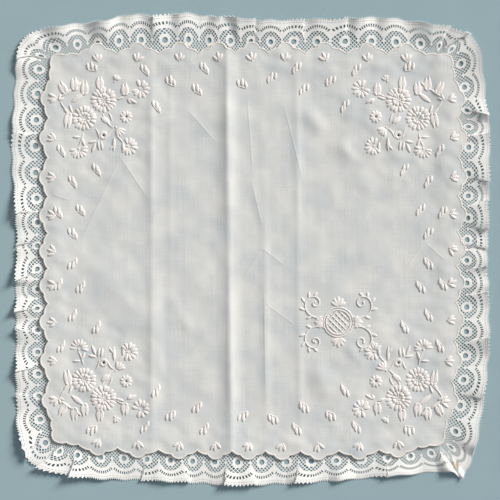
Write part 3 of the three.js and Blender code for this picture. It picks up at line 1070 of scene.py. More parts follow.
@dataclass
class Tube:
    """Rounded cord along a path, with its own widths and heights, closed on itself or at its ends."""

    path: Array
    half_width: Array
    half_height: Array
    closed: bool = False
    sides: int = 8

    def arrays(self) -> tuple[Array, list[list[int]], Array]:
        """Works out the tube.

        Returns:
            Its points, its faces, and the map place of every corner.
        """
        path = self.path
        count = len(path)
        if self.closed:
            ahead = np.roll(path, -1, axis=0) - np.roll(path, 1, axis=0)
        else:
            ahead = np.gradient(path, axis=0)
        ahead /= np.linalg.norm(ahead, axis=1)[:, None]
        across = np.cross(ahead, (0, 0, 1.0))
        across /= np.linalg.norm(across, axis=1)[:, None]
        up = np.cross(across, ahead)
        turns = 2 * math.pi * np.arange(self.sides) / self.sides
        offset = (
            across[:, None] * (np.cos(turns)[None, :, None] * self.half_width[:, None, None])
            + up[:, None] * (np.sin(turns)[None, :, None] * self.half_height[:, None, None])
        )
        points = (path[:, None] + offset).reshape(-1, 3)
        steps = np.linalg.norm(np.diff(path, axis=0, append=path[:1]), axis=1)
        run = np.concatenate([[0], np.cumsum(steps)])
        faces, uv = [], []
        for ring in range(count if self.closed else count - 1):
            following = (ring + 1) % count
            here, there = ring * self.sides, following * self.sides
            low, high = run[ring], run[ring + 1]
            for side in range(self.sides):
                other = (side + 1) % self.sides
                faces.append([here + side, here + other, there + other, there + side])
                uv += [(low, side), (low, side + 1), (high, side + 1), (high, side)]
        if not self.closed:
            last = (count - 1) * self.sides
            faces.append(list(range(self.sides))[::-1])
            faces.append([last + side for side in range(self.sides)])
            uv += [(0, side) for side in range(self.sides)][::-1]
            uv += [(run[count - 1], side) for side in range(self.sides)]
        return points, faces, np.array(uv, dtype=float)


# Materials

# Metres to millimetres, and onto the plane of the table.
TO_MM = (1 / MM, 1 / MM, 1 / MM)
FLATTEN = (1, 1, 0)


class Board:
    """Adds nodes to one material or node group and joins them."""

    def __init__(self, tree: bpy.types.NodeTree) -> None:
        """Keeps the tree that nodes are added to."""
        self.tree = tree

    def node(self, kind: str, inputs: dict | None = None, **settings: object) -> bpy.types.Node:
        """Adds a node.

        Args:
            kind: Blender's name of the node type.
            inputs: a value or an output socket for each named or numbered input.
            settings: attributes of the node.

        Returns:
            The node.
        """
        node = self.tree.nodes.new(kind)
        for name, value in settings.items():
            setattr(node, name, value)
        for name, value in (inputs or {}).items():
            if isinstance(value, Socket):
                self.tree.links.new(value, node.inputs[name])
            else:
                node.inputs[name].default_value = value
        return node

    def math(self, operation: str, *values: object) -> Socket:
        """Adds a math node on numbers or sockets and gives its output."""
        return self.node("ShaderNodeMath", dict(enumerate(values)), operation=operation).outputs[0]

    def noise(self, vector: Socket, scale: float, detail: float = 2) -> Socket:
        """Adds a noise texture on a vector in millimetres and gives its value."""
        inputs = {"Vector": vector, "Scale": scale, "Detail": detail}
        return self.node("ShaderNodeTexNoise", inputs).outputs[0]

    def vector(self, operation: str, *values: object) -> bpy.types.Node:
        """Adds a vector math node on vectors or sockets."""
        return self.node("ShaderNodeVectorMath", dict(enumerate(values)), operation=operation)

    def stretch(self, vector: Socket, scale: tuple[float, ...]) -> Socket:
        """Scales a vector along its axes."""
        return self.vector("MULTIPLY", vector, scale).outputs[0]

    def ramp(self, value: Socket, given: Pair, wanted: Pair = (0, 1), **settings: object) -> Socket:
        """Adds a node that takes one range of numbers to another and holds it at its ends.

        Args:
            value: the number's socket.
            given: the range it comes in.
            wanted: what the ends of that range become.
            settings: attributes of the node.

        Returns:
            The output.
        """
        inputs = {"Value": value, "From Min": given[0], "From Max": given[1]}
        inputs.update({"To Min": wanted[0], "To Max": wanted[1]})
        return self.node("ShaderNodeMapRange", inputs, **settings).outputs[0]

    def blend(self, factor: object, first: object, second: object) -> Socket:
        """Adds a mix of two colours.

        Args:
            factor: share of the second colour, or its socket.
            first: a colour or its socket.
            second: the same.

        Returns:
            The output.
        """
        inputs = {0: factor, 6: first, 7: second}
        return self.node("ShaderNodeMix", inputs, data_type="RGBA").outputs[2]


def new_group(
    name: str, inputs: dict[str, float | None], outputs: tuple[str, ...]
) -> tuple[Board, bpy.types.NodeOutputs]:
    """Starts a shader node group.

    Args:
        name: name of the group.
        inputs: default of each input, or None for a vector.
        outputs: names of the outputs, all numbers.

    Returns:
        A board on the group, and the sockets that give its inputs.
    """
    group = bpy.data.node_groups.new(name, "ShaderNodeTree")
    for label, default in inputs.items():
        kind = "NodeSocketVector" if default is None else "NodeSocketFloat"
        socket = group.interface.new_socket(label, in_out="INPUT", socket_type=kind)
        if default is not None:
            socket.default_value = default
    for label in outputs:
        group.interface.new_socket(label, in_out="OUTPUT", socket_type="NodeSocketFloat")
    board = Board(group)
    return board, board.node("NodeGroupInput").outputs


THREAD_INPUTS = {"Place": None, "Pitch": 0.4}
THREAD_OUTPUTS = ("Relief", "Tone")


@dataclass(frozen=True)
class WovenThreads:
    """Node group of plain weave with slubs: takes a place in millimetres, gives relief and tone.

    A "drawn" is a noise's scale along the thread over its scale across it, and a "contrast" is a
    factor and what is added then.
    """

    bend_scale: float = 0.07
    bend: float = 9
    waver_scale: float = 0.7
    waver: float = 0.5
    slub_scale: float = 1.1
    slub_drawn: float = 0.06
    slub_contrast: Pair = (1.8, -1.3)
    streak_scale: float = 0.45
    streak_drawn: float = 0.012
    streak_contrast: Pair = (1.6, -0.8)
    patch_scale: float = 0.05
    patch_range: Pair = (0.4, 0.6)
    patch_strength: Pair = (0.25, 1)
    slub_relief: float = 0.9
    crossing_relief: float = 0.1

    def build(self) -> bpy.types.NodeTree:
        """Builds the group.

        Returns:
            Its tree.
        """
        board, given = new_group(Pattern.WOVEN.value, THREAD_INPUTS, THREAD_OUTPUTS)
        place = given["Place"]
        waver = board.math("MULTIPLY", board.noise(place, self.waver_scale, 1), self.waver)
        shift = board.math("MULTIPLY_ADD", board.noise(place, self.bend_scale, 1), self.bend, waver)
        axes = board.node("ShaderNodeSeparateXYZ", {0: place}).outputs
        turn = board.math("DIVIDE", math.pi, given["Pitch"])
        warp, weft = (
            board.math("COSINE", board.math("MULTIPLY", board.math("ADD", axes[axis], shift), turn))
            for axis in range(2)
        )
        crossing = board.math("MULTIPLY_ADD", board.math("MULTIPLY", warp, weft), 0.5, 0.5)
        lengthwise = board.noise(board.stretch(place, (1, self.slub_drawn, 1)), self.slub_scale, 3)
        crosswise = board.noise(board.stretch(place, (self.slub_drawn, 1, 1)), self.slub_scale, 3)
        streaks = board.noise(board.stretch(place, (1, self.streak_drawn, 1)), self.streak_scale, 3)
        streaks = board.math("MULTIPLY_ADD", streaks, *self.streak_contrast)
        slubs = board.math("MULTIPLY_ADD", board.math("ADD", lengthwise, crosswise), *self.slub_contrast)
        tone = board.math("ADD", slubs, streaks)
        patches = board.ramp(board.noise(place, self.patch_scale), self.patch_range, self.patch_strength)
        tone = board.math("MULTIPLY_ADD", board.math("SUBTRACT", tone, 0.5), patches, 0.5)
        tone = board.node("ShaderNodeClamp", {0: tone}).outputs[0]
        crossing = board.math("MULTIPLY", crossing, self.crossing_relief)
        relief = board.math("MULTIPLY_ADD", tone, self.slub_relief, crossing)
        # The tone is the slubs' and streaks' own, and low where the relief is low, where the finish also
        # paints shade.
        board.node("NodeGroupOutput", {"Relief": relief, "Tone": tone})
        return board.tree


@dataclass(frozen=True)
class LaidStitches:
    """Node group of stitches side by side: takes a place along a form, gives relief and tone."""

    wobble_scale: float = 1.3
    wobble: float = 0.25
    strand_scale: float = 2.2
    strand_drawn: float = 0.15
    ridge_relief: float = 0.7
    strand_relief: float = 0.3

    def build(self) -> bpy.types.NodeTree:
        """Builds the group.

        Returns:
            Its tree.
        """
        board, given = new_group(Pattern.STITCHED.value, THREAD_INPUTS, THREAD_OUTPUTS)
        place = given["Place"]
        axes = board.node("ShaderNodeSeparateXYZ", {0: place}).outputs
        wobble = board.math("MULTIPLY", board.noise(place, self.wobble_scale), self.wobble)
        turn = board.math("DIVIDE", math.pi, given["Pitch"])
        along = board.math("MULTIPLY", board.math("ADD", axes[0], wobble), turn)
        ridge = board.math("ABSOLUTE", board.math("SINE", along))
        strands = board.noise(board.stretch(place, (1, self.strand_drawn, 1)), self.strand_scale)
        strands = board.math("MULTIPLY", strands, self.strand_relief)
        relief = board.math("MULTIPLY_ADD", ridge, self.ridge_relief, strands)
        # The tone is low in the grooves between stitches, where the finish paints shade.
        board.node("NodeGroupOutput", {"Relief": relief, "Tone": ridge})
        return board.tree


@dataclass(frozen=True)
class PressedLine:
    """Node group of a thin straight ridge: takes a place, its start, way and length, gives height.

    It fades out between the two shares of its length from its middle.
    """

    half_width: float = 1.1
    fade: Pair = (0.3, 0.6)

    def build(self) -> bpy.types.NodeTree:
        """Builds the group.

        Returns:
            Its tree.
        """
        inputs = {"Place": None, "Start": None, "Along": None, "Length": 20, "Width": self.half_width}
        board, given = new_group("pressed_line", inputs, ("Height",))
        offset = board.vector("SUBTRACT", given["Place"], given["Start"]).outputs[0]
        run = board.vector("DOT_PRODUCT", offset, given["Along"]).outputs["Value"]
        crossed = board.vector("CROSS_PRODUCT", offset, given["Along"]).outputs[0]
        apart = board.math("DIVIDE", board.vector("LENGTH", crossed).outputs["Value"], given["Width"])
        ridge = board.ramp(apart, (0, 1), (1, 0), interpolation_type="SMOOTHSTEP")
        place = board.math("SUBTRACT", board.math("DIVIDE", run, given["Length"]), 0.5)
        from_middle = board.math("ABSOLUTE", place)
        ends = board.ramp(from_middle, self.fade, (1, 0), interpolation_type="SMOOTHSTEP")
        board.node("NodeGroupOutput", {"Height": board.math("MULTIPLY", ridge, ends)})
        return board.tree


@dataclass(frozen=True)
class Spot:
    """A small ragged stain: its plan place, its radius, its colour and how it fades.

    "fade" gives where it starts to fade and where it ends, in radii, "raggedness" how far its edge
    wanders, and "grain_scale" how finely.
    """

    x: float
    y: float
    radius: float
    colour: Colour
    fade: Pair = (0.5, 1.5)
    strength: float = 0.75
    raggedness: float = 0.8
    grain_scale: float = 0.5

    def mask(self, board: Board, place: Socket) -> Socket:
        """Adds the mask of the stain.

        Args:
            board: the material's board.
            place: place on the piece, in millimetres.

        Returns:
            The mask.
        """
        flat_place = board.stretch(place, FLATTEN)
        apart = board.vector("DISTANCE", flat_place, (self.x, self.y, 0)).outputs["Value"]
        grain = board.noise(place, self.grain_scale)
        ragged = board.math("MULTIPLY_ADD", grain, self.radius * self.raggedness, apart)
        edge = (self.radius * self.fade[0], self.radius * self.fade[1])
        return board.ramp(ragged, edge, (self.strength, 0))


@dataclass(frozen=True)
class PinholeShadeDots:
    """Lines of small dark dots that follow the scallops of the free edge, across the strip at "levels".

    The dots paint holes that the mesh does not cut: their dark colour is painted shade, the floor seen
    through pinholes under the lace.
    """

    levels: tuple[float, ...]
    # The painted shade of the floor seen through a pinhole.
    colour: Colour = (0.42, 0.45, 0.45, 1)
    dots_a_repeat: int = 16
    swell: float = 0.5
    half_width: Pair = (0.15, 0.4)
    gap: float = 0.3

    def mask(self, board: Board, flat: Socket, level: float) -> Socket:
        """Adds the mask of one line.

        Args:
            board: the material's board.
            flat: place on the flat strip, in millimetres.
            level: how far across the strip the line runs.

        Returns:
            The mask.
        """
        axes = board.node("ShaderNodeSeparateXYZ", {0: flat}).outputs
        turn = 2 * math.pi / STRIP_PITCH
        wave = board.math("COSINE", board.math("MULTIPLY", axes[0], turn))
        across = board.math("SUBTRACT", axes[1], board.math("MULTIPLY", wave, self.swell))
        apart = board.math("ABSOLUTE", board.math("SUBTRACT", across, level))
        line = board.ramp(apart, self.half_width, (1, 0))
        along = board.math("COSINE", board.math("MULTIPLY", axes[0], turn * self.dots_a_repeat))
        return board.math("MULTIPLY", line, board.ramp(along, (-self.gap, self.gap)))


@dataclass(frozen=True)
class ClothFinish:
    """A cloth or thread finish: two tones that drift into each other, a thread pattern and stains.

    The tones drift at "drift_scale". The pattern has its own "pitch", and follows the piece's map if
    "on_map" is set, and else its place. "pressed" adds the crisp lines of the narrow wrinkles. Where the
    pattern's tone is low, a darker colour is mixed in, by up to "tone_share": painted shade in the
    grooves between stitches and in the low spots of the weave, and on woven cloth also the slubs' own
    darker tone.
    """

    name: str
    pale: Colour
    deep: Colour
    shade_and_slub_tone: Colour
    pattern: Pattern
    pitch: float
    on_map: bool
    relief: float
    tone_share: float
    roughness: float
    sheen: float
    spots: tuple[Spot, ...] = ()
    dots: PinholeShadeDots = PinholeShadeDots(())
    drift_scale: float = 0.06
    drift_range: Pair = (0.35, 0.65)
    pressed: bool = False
    pressed_relief: float = 0.3
    pressed_height: float = 0.3 * MM
    bump_height: float = 0.2 * MM
    specular: float = 0.25
    sheen_roughness: float = 0.5

    def material(self, patterns: dict[Pattern, bpy.types.NodeTree]) -> bpy.types.Material:
        """Builds the material.

        Args:
            patterns: the node group of each thread pattern.

        Returns:
            The material.
        """
        material = bpy.data.materials.new(self.name)
        material.use_nodes = True
        material.node_tree.nodes.clear()
        board = Board(material.node_tree)
        coordinates = board.node("ShaderNodeTexCoord").outputs
        place = board.stretch(coordinates["Object"], TO_MM)
        flat = board.stretch(coordinates["UV"], TO_MM) if self.on_map else place
        laid = {"Place": flat, "Pitch": self.pitch}
        threads = board.node("ShaderNodeGroup", laid, node_tree=patterns[self.pattern]).outputs
        drift = board.ramp(board.noise(place, self.drift_scale, 4), self.drift_range)
        colour = board.blend(drift, self.pale, self.deep)
        # Painted shade in the grooves between stitches and the low spots of the weave, with the slubs' own
        # tone.
        darker = board.math("MULTIPLY", board.math("SUBTRACT", 1, threads["Tone"]), self.tone_share)
        colour = board.blend(darker, colour, self.shade_and_slub_tone)
        # Painted shade: dark dots where pinholes in the lace would show the floor beneath.
        for level in self.dots.levels:
            colour = board.blend(self.dots.mask(board, flat, level), colour, self.dots.colour)
        for spot in self.spots:
            colour = board.blend(spot.mask(board, place), colour, spot.colour)
        bump = {"Height": threads["Relief"], "Strength": self.relief, "Distance": self.bump_height}
        if self.pressed:
            bump["Normal"] = self.pressed_lines(board, place)
        shader_inputs = {
            "Base Color": colour,
            "Roughness": self.roughness,
            "Specular IOR Level": self.specular,
            "Sheen Weight": self.sheen,
            "Sheen Roughness": self.sheen_roughness,
            "Normal": board.node("ShaderNodeBump", bump).outputs[0],
        }
        shader = board.node("ShaderNodeBsdfPrincipled", shader_inputs)
        board.node("ShaderNodeOutputMaterial", {"Surface": shader.outputs[0]})
        return material

    def pressed_lines(self, board: Board, place: Socket) -> Socket:
        """Adds a thin crisp ridge along every narrow wrinkle.

        Args:
            board: the material's board.
            place: place on the piece, in millimetres.

        Returns:
            The bent normal.
        """
        flat_place = board.stretch(place, FLATTEN)
        group = PressedLine().build()
        total = None
        for wrinkle in WRINKLES:
            if wrinkle.width > PRESSED_WIDTH:
                continue
            start = (wrinkle.x0, wrinkle.y0, 0)
            run = np.array([wrinkle.x1 - wrinkle.x0, wrinkle.y1 - wrinkle.y0])
            length = float(np.hypot(*run))
            line = {"Place": flat_place, "Start": start, "Along": (*(run / length), 0), "Length": length}
            height = board.node("ShaderNodeGroup", line, node_tree=group).outputs["Height"]
            total = height if total is None else board.math("ADD", total, height)
        bump = {"Height": total, "Strength": self.pressed_relief, "Distance": self.pressed_height}
        return board.node("ShaderNodeBump", bump).outputs[0]


LINEN_FINISH = ClothFinish(
    name="fine_linen",
    pale=(0.80, 0.79, 0.76, 1),
    deep=(0.655, 0.683, 0.692, 1),
    shade_and_slub_tone=(0.58, 0.60, 0.60, 1),
    pattern=Pattern.WOVEN,
    pitch=0.42,
    on_map=False,
    relief=0.24,
    tone_share=0.32,
    roughness=0.85,
    sheen=0.1,
    spots=(Spot(36, 71.8, 0.4, (0.3, 0.3, 0.28, 1)),),
    drift_scale=0.045,
    pressed=True,
)
THREAD_FINISH = ClothFinish(
    name="embroidery_thread",
    pale=(0.90, 0.86, 0.83, 1),
    deep=(0.88, 0.82, 0.79, 1),
    shade_and_slub_tone=(0.70, 0.63, 0.58, 1),
    pattern=Pattern.STITCHED,
    pitch=0.38,
    on_map=True,
    relief=0.4,
    tone_share=0.2,
    roughness=0.6,
    sheen=0.2,
)
CORD_FINISH = ClothFinish(
    name="buttonhole_thread",
    pale=(0.92, 0.88, 0.82, 1),
    deep=(0.90, 0.84, 0.78, 1),
    shade_and_slub_tone=(0.70, 0.63, 0.56, 1),
    pattern=Pattern.STITCHED,
    pitch=0.45,
    on_map=True,
    relief=0.6,
    tone_share=0.3,
    roughness=0.6,
    sheen=0.2,
)
LACE_FINISH = ClothFinish(
    name="cotton_lace",
    pale=(0.96, 0.955, 0.935, 1),
    deep=(0.93, 0.92, 0.89, 1),
    shade_and_slub_tone=(0.62, 0.63, 0.61, 1),
    pattern=Pattern.WOVEN,
    pitch=0.5,
    on_map=True,
    relief=0.5,
    tone_share=0.24,
    roughness=0.8,
    sheen=0.15,
    spots=(Spot(144, -151.5, 3.5, (0.55, 0.4, 0.24, 1)),),
    dots=PinholeShadeDots((23.7, 25)),
)


# The linen


@dataclass
class LinenSquare:
    """The linen sheet with its creases, cut at its lobed edge and at the eyelets."""

    plan: LinenPlan
    eyelets: list[Triple]
    grid_step: Pair = (1.6, 1.9)
    clear_of_edge: float = 0.9
    eyelet_steps: int = 12

    def grid(self, outline: Array) -> Array:
        """Lays out an even grid inside the edge, clear of it and of the eyelets.

        Args:
            outline: the lobed edge.

        Returns:
            The grid's points.
        """
        low, high = outline.min(axis=0), outline.max(axis=0)
        xs = np.arange(low[0], high[0], self.grid_step[0])
        ys = np.arange(low[1], high[1], self.grid_step[1])
        points = np.stack(np.meshgrid(xs, ys), axis=-1).reshape(-1, 2)
        points = points[self.plan.inset(points) > -SIDES[0].reach]
        keep = np.ones(len(points), dtype=bool)
        inside = np.zeros(len(points), dtype=bool)
        for start, end in zip(outline, np.roll(outline, -1, axis=0)):
            crosses = (start[1] > points[:, 1]) != (end[1] > points[:, 1])
            if crosses.any():
                level = (points[:, 1] - start[1]) / (end[1] - start[1])
                inside ^= crosses & (points[:, 0] < start[0] + level * (end[0] - start[0]))
            near = np.hypot(points[:, 0] - start[0], points[:, 1] - start[1]) < self.clear_of_edge
            keep &= ~near
        for x, y, radius in self.eyelets:
            keep &= np.hypot(points[:, 0] - x, points[:, 1] - y) > radius + self.clear_of_edge
        return points[keep & inside]

    def build(self) -> Piece:
        """Makes the sheet.

        Returns:
            The piece.
        """
        outline = self.plan.edge()[::-1]
        loops = [outline]
        for x, y, radius in self.eyelets:
            loops.append(radius * circle(self.eyelet_steps) + (x, y))
        flat, triangles = fill_loops(loops, self.grid(outline))
        middles = flat[triangles].mean(axis=1)
        for x, y, radius in self.eyelets:
            away = np.hypot(middles[:, 0] - x, middles[:, 1] - y) > radius
            triangles, middles = triangles[away], middles[away]
        under = np.column_stack([flat, self.plan.underside(flat)])
        top = np.column_stack([flat, self.plan.top(flat)])
        return ClosedSheet("linen_cloth", under, top, triangles, flat[triangles]).build()


@dataclass
class EdgeCord:
    """The raised buttonhole stitch along the lobed edge."""

    plan: LinenPlan
    half_width: float = 0.55
    half_height: float = 0.3
    sink: float = 0.08
    unevenness: float = 0.1

    def build(self) -> Piece:
        """Makes the cord as one closed tube.

        Returns:
            The piece.
        """
        edge = self.plan.edge()[::-1]
        path = np.column_stack([edge, self.plan.top(edge) - self.sink])
        draw = np.random.default_rng(5)
        uneven = 1 + self.unevenness * draw.uniform(-1, 1, len(edge))
        tube = Tube(path, self.half_width * uneven, self.half_height * uneven, closed=True)
        points, faces, uv = tube.arrays()
        return mesh_object("edge_cord", points, faces, uv)


# The lace


@dataclass
class LaceFrill:
    """The gathered lace frill, one repeat copied all the way round."""

    plan: FrillPlan
    cell: LaceCell = field(default_factory=LaceCell)
    least_height: float = 0.1
    at_border: float = 1e-4

    def build(self) -> Piece:
        """Makes the frill as one closed sheet.

        Returns:
            The piece.
        """
        self.cell.triangulate()
        cell = self.cell.points
        half = STRIP_PITCH / 2
        left = {round(t, 3): index for index, (s, t) in enumerate(cell) if abs(s + half) < self.at_border}
        own = np.arange(len(cell))
        carried = np.zeros(len(cell), dtype=int)
        for index, (s, t) in enumerate(cell):
            if abs(s - half) < self.at_border:
                own[index] = left[round(t, 3)]
                carried[index] = 1
        repeats = np.arange(REPEATS)
        numbers = own[None, :] + ((repeats[:, None] + carried[None, :]) % REPEATS) * len(cell)
        triangles = numbers[:, self.cell.triangles].reshape(-1, 3)
        repeat = (repeats[:, None] + cell[None, :, 0] / STRIP_PITCH).ravel()
        across = np.tile(cell[:, 1], REPEATS)
        under = self.plan.lay(repeat, across)
        thickness = np.tile(self.cell.thickness(cell[:, 0], cell[:, 1]), REPEATS)
        top = under + self.plan.upright(repeat, across) * thickness[:, None]
        top[:, 2] = np.maximum(top[:, 2], self.least_height)
        flat = np.column_stack([repeat * STRIP_PITCH, across]).reshape(REPEATS, -1, 2)
        corner_uv = flat[:, self.cell.triangles].reshape(-1, 3, 2)
        used, renumbered = np.unique(triangles, return_inverse=True)
        triangles = renumbered.reshape(-1, 3)
        return ClosedSheet("lace_cloth", under[used], top[used], triangles, corner_uv).build()


# The embroidery


@dataclass(frozen=True)
class Daisy:
    """A round flower: its middle, its reach, the number of outer petals and of inner ones."""

    x: float
    y: float
    reach: float
    petals: int
    inner: int


@dataclass(frozen=True)
class Fan:
    """A fan of petals from one point: which way it opens, how wide, how long and how many."""

    x: float
    y: float
    turn: float
    spread: float
    reach: float
    petals: int


@dataclass(frozen=True)
class Bud:
    """A closed bud of overlapping petals: its root, the way it points and how long it is."""

    x: float
    y: float
    turn: float
    reach: float


@dataclass(frozen=True)
class Leaf:
    """A single leaf or satin bar between two points, with its width."""

    x0: float
    y0: float
    x1: float
    y1: float
    width: float


@dataclass(frozen=True)
class Stem:
    """A curved stem between two points, with how far its middle bends to the left."""

    x0: float
    y0: float
    x1: float
    y1: float
    bend: float


@dataclass(frozen=True)
class Eyelet:
    """A small hole with stitches round it: its middle, its radius, its reach and stitch count."""

    x: float
    y: float
    radius: float
    reach: float
    petals: int


# The corner spray of the corner to the left of the far side, measured from the middle of the design.
SPRAY_DAISIES = (
    Daisy(-103.1, 104.4, 9.1, 17, 11),
    Daisy(-116.8, 91.5, 8.7, 16, 10),
)
SPRAY_FANS = (
    Fan(-77.2, 111.9, -30, 270, 6.7, 9),
    Fan(-85.6, 71.8, -15, 250, 6.5, 9),
    Fan(-94, 84.5, -48, 70, 6.5, 4),
    Fan(-120.4, 69.5, -80, 190, 6.6, 8),
    Fan(-95, 118, 60, 70, 4, 3),
)
SPRAY_BUDS = (
    Bud(-129.6, 108.8, 118, 9.4),
    Bud(-123.4, 110.6, 92, 10.2),
    Bud(-116.6, 107.6, 88, 10.2),
    Bud(-105.6, 111.8, 92, 9.4),
    Bud(-88.2, 107.2, 92, 9.6),
    Bud(-127.2, 95.6, -100, 12),
)
SPRAY_LEAVES = (
    Leaf(-133, 106.4, -125, 112, 1.8),
    Leaf(-126, 102.2, -117, 109.2, 3),
    Leaf(-131, 98.6, -127, 93.8, 1.6),
    Leaf(-127, 101, -125, 95, 1.6),
    Leaf(-86.2, 105.3, -80, 102, 2),
    Leaf(-86.4, 105.2, -84, 101.6, 1.5),
    Leaf(-88.6, 106.4, -94.6, 104.6, 1.7),
    Leaf(-105, 92.4, -98.8, 87.8, 3.4),
    Leaf(-119, 78.2, -124.8, 78.4, 1.5),
    Leaf(-118.4, 78, -116.2, 71.8, 1.7),
    Leaf(-107.8, 75.6, -113.8, 74.4, 1.8),
    Leaf(-108.6, 74.2, -111.4, 67.2, 1.9),
    Leaf(-107, 75.6, -106.1, 69, 1.5),
    Leaf(-104.7, 75.6, -103.8, 69, 1.5),
    Leaf(-95.7, 78.4, -96, 68.2, 2),
    Leaf(-89.6, 75, -89.2, 68, 1.8),
    Leaf(-96.4, 72.6, -98.8, 69.4, 1.4),
    Leaf(-134.6, 104, -133, 108.6, 1.5),
    Leaf(-134.4, 104, -130.6, 105.6, 1.4),
    Leaf(-122, 113.6, -119, 116.6, 1.4),
)
SPRAY_STEMS = (
    Stem(-95.7, 84.4, -100.3, 77.8, -0.9),
    Stem(-94.5, 79.4, -89.6, 74.2, 0.5),
    Stem(-99.6, 95.2, -97.3, 89.6, 0.5),
    Stem(-117.4, 81.2, -120.8, 71.4, 0.6),
    Stem(-104, 95.4, -96, 84.4, -1.2),
    Stem(-108.6, 84.2, -106, 77, 0.6),
    Stem(-94.8, 105.6, -84, 109.4, 0.8),
    Stem(-125.4, 95, -133.6, 104, 1.2),
)
SPRAY_EYELETS = (
    Eyelet(-103.1, 79.5, 0.75, 3.1, 12),
    Eyelet(-87.3, 92.5, 0.6, 4.4, 9),
)
DESIGN_MIDDLE = (0.35, -0.35)

# Small leaf sprigs in every quarter, with their place and the way their leaves follow each other.
QUARTER_SPRIGS = (
    (111, 127, 8),
    (74, 125, 42),
    (56, 117, 22),
    (32.3, 126.2, 38),
    (37.5, 111.2, 30),
    (66, 99.5, 45),
    (132.5, 68.5, 48),
    (124.5, 46.8, 46),
    (134.5, 25.3, 42),
    (119, 27, 38),
    (124.5, 10.5, 34),
    (107.8, 55.2, 46),
)
# The same for those that stand alone near the middle of the far and near sides.
LONE_SPRIGS = ((-6, 115.4, 16), (15, 119.3, 28), (-5.3, -117.3, 20), (15.8, -119.4, 22))
LOBE_SPRIG_INSET = 2.6
# The leaves of a small sprig: place in the row, length and width.
SPRIG_LEAVES = ((-1, 5.4, 2.2), (0, 6.6, 2.5), (1, 5.2, 2.2))
# The leaves of a fork: lean from its middle in radians, and length.
FORK_LEAVES = ((0, 5.9), (0.6, 5.3), (-0.6, 5.6))

# The petals of a bud: how far aside they start, their lean in radians and their share of its length.
BUD_PETALS = ((-1.5, -0.02, 0.8), (1.5, 0.02, 0.84), (-0.55, -0.05, 1), (0.55, 0.08, 0.94))
# Where along itself a petal is widest and meets its neighbours.
PETAL_WIDEST = 0.62

# The corded ornament, which is alike on its left and right.
ORNAMENT_MIDDLE = (61.5, -51.5)
# The leaves of a tendril: step of its path where they grow, and length.
TENDRIL_LEAVES = ((2, 4), (5, 4.6), (8, 5), (11, 5), (14, 4.6), (17, 4))
# The flowers round the medallion: the way they stand in half turns, and their reach.
ORNAMENT_FLOWERS = ((0.5, 7), (-0.5, 7), (0, 6), (1, 6))

# Stretches of each form that are made wider or narrower: where they begin and end, and how much.
SHAPINGS = {
    Form.PETAL: ((0, 0.35, 0.8), (0, 0.12, 0.8), (0.7, 1, 1.08), (0.88, 1, 1.25)),
    Form.LEAF: ((0, 0.3, 0.88), (0, 0.1, 0.5), (0.7, 1, 0.88), (0.9, 1, 0.5)),
    Form.KNOT: (),
}


def step_from(place: Pair, turn: float, distance: float) -> Pair:
    """Gives the plan place at a distance from another, in a direction in radians."""
    return place[0] + distance * math.cos(turn), place[1] + distance * math.sin(turn)


@dataclass
class StitchForms:
    """The forms of padded satin stitch, modelled once and one millimetre long and wide.

    "ring" is their number of corners and "side" the height of their wall. Shoulder and crown are the
    width and the rise of an inset each.
    """

    ring: int = 12
    side: float = 0.35
    shoulder: Pair = (0.08, 0.4)
    crown: Pair = (0.16, 0.25)
    forms: dict[Form, tuple[Array, list[list[int]]]] = field(default_factory=dict)

    def model(self) -> None:
        """Models every form and keeps its points and faces."""
        for form, shaping in SHAPINGS.items():
            bpy.ops.object.select_all(action="DESELECT")
            bpy.ops.mesh.primitive_circle_add(
                vertices=self.ring, radius=0.5, fill_type="NGON", location=(0.5, 0, 0)
            )
            piece = bpy.context.active_object
            bpy.ops.object.transform_apply(location=True, rotation=True, scale=True)
            bpy.ops.object.mode_set(mode="EDIT")
            bpy.ops.mesh.select_all(action="SELECT")
            bpy.ops.mesh.extrude_region_move(TRANSFORM_OT_translate={"value": (0, 0, self.side)})
            for thickness, depth in (self.shoulder, self.crown):
                bpy.ops.mesh.inset(thickness=thickness, depth=depth)
            bpy.ops.mesh.select_all(action="SELECT")
            bpy.ops.mesh.normals_make_consistent(inside=False)
            bpy.ops.object.mode_set(mode="OBJECT")
            for low, high, share in shaping:
                self.widen(piece, low, high, share)
            mesh = piece.data
            points = np.array([tuple(vertex.co) for vertex in mesh.vertices])
            faces = [list(polygon.vertices) for polygon in mesh.polygons]
            self.forms[form] = (points, faces)
            bpy.data.objects.remove(piece)
            bpy.data.meshes.remove(mesh)

    def widen(self, piece: Piece, low: float, high: float, share: float) -> None:
        """Widens or narrows a stretch of a form.

        Args:
            piece: the form's object.
            low: where the stretch begins.
            high: where it ends.
            share: the new width of each of its points over the old one.
        """
        for part in (*piece.data.edges, *piece.data.polygons):
            part.select = False
        for vertex in piece.data.vertices:
            vertex.select = low <= vertex.co.x <= high
        bpy.ops.object.mode_set(mode="EDIT")
        bpy.ops.transform.resize(value=(1, share, 1), center_override=(0.5, 0, 0))
        bpy.ops.object.mode_set(mode="OBJECT")


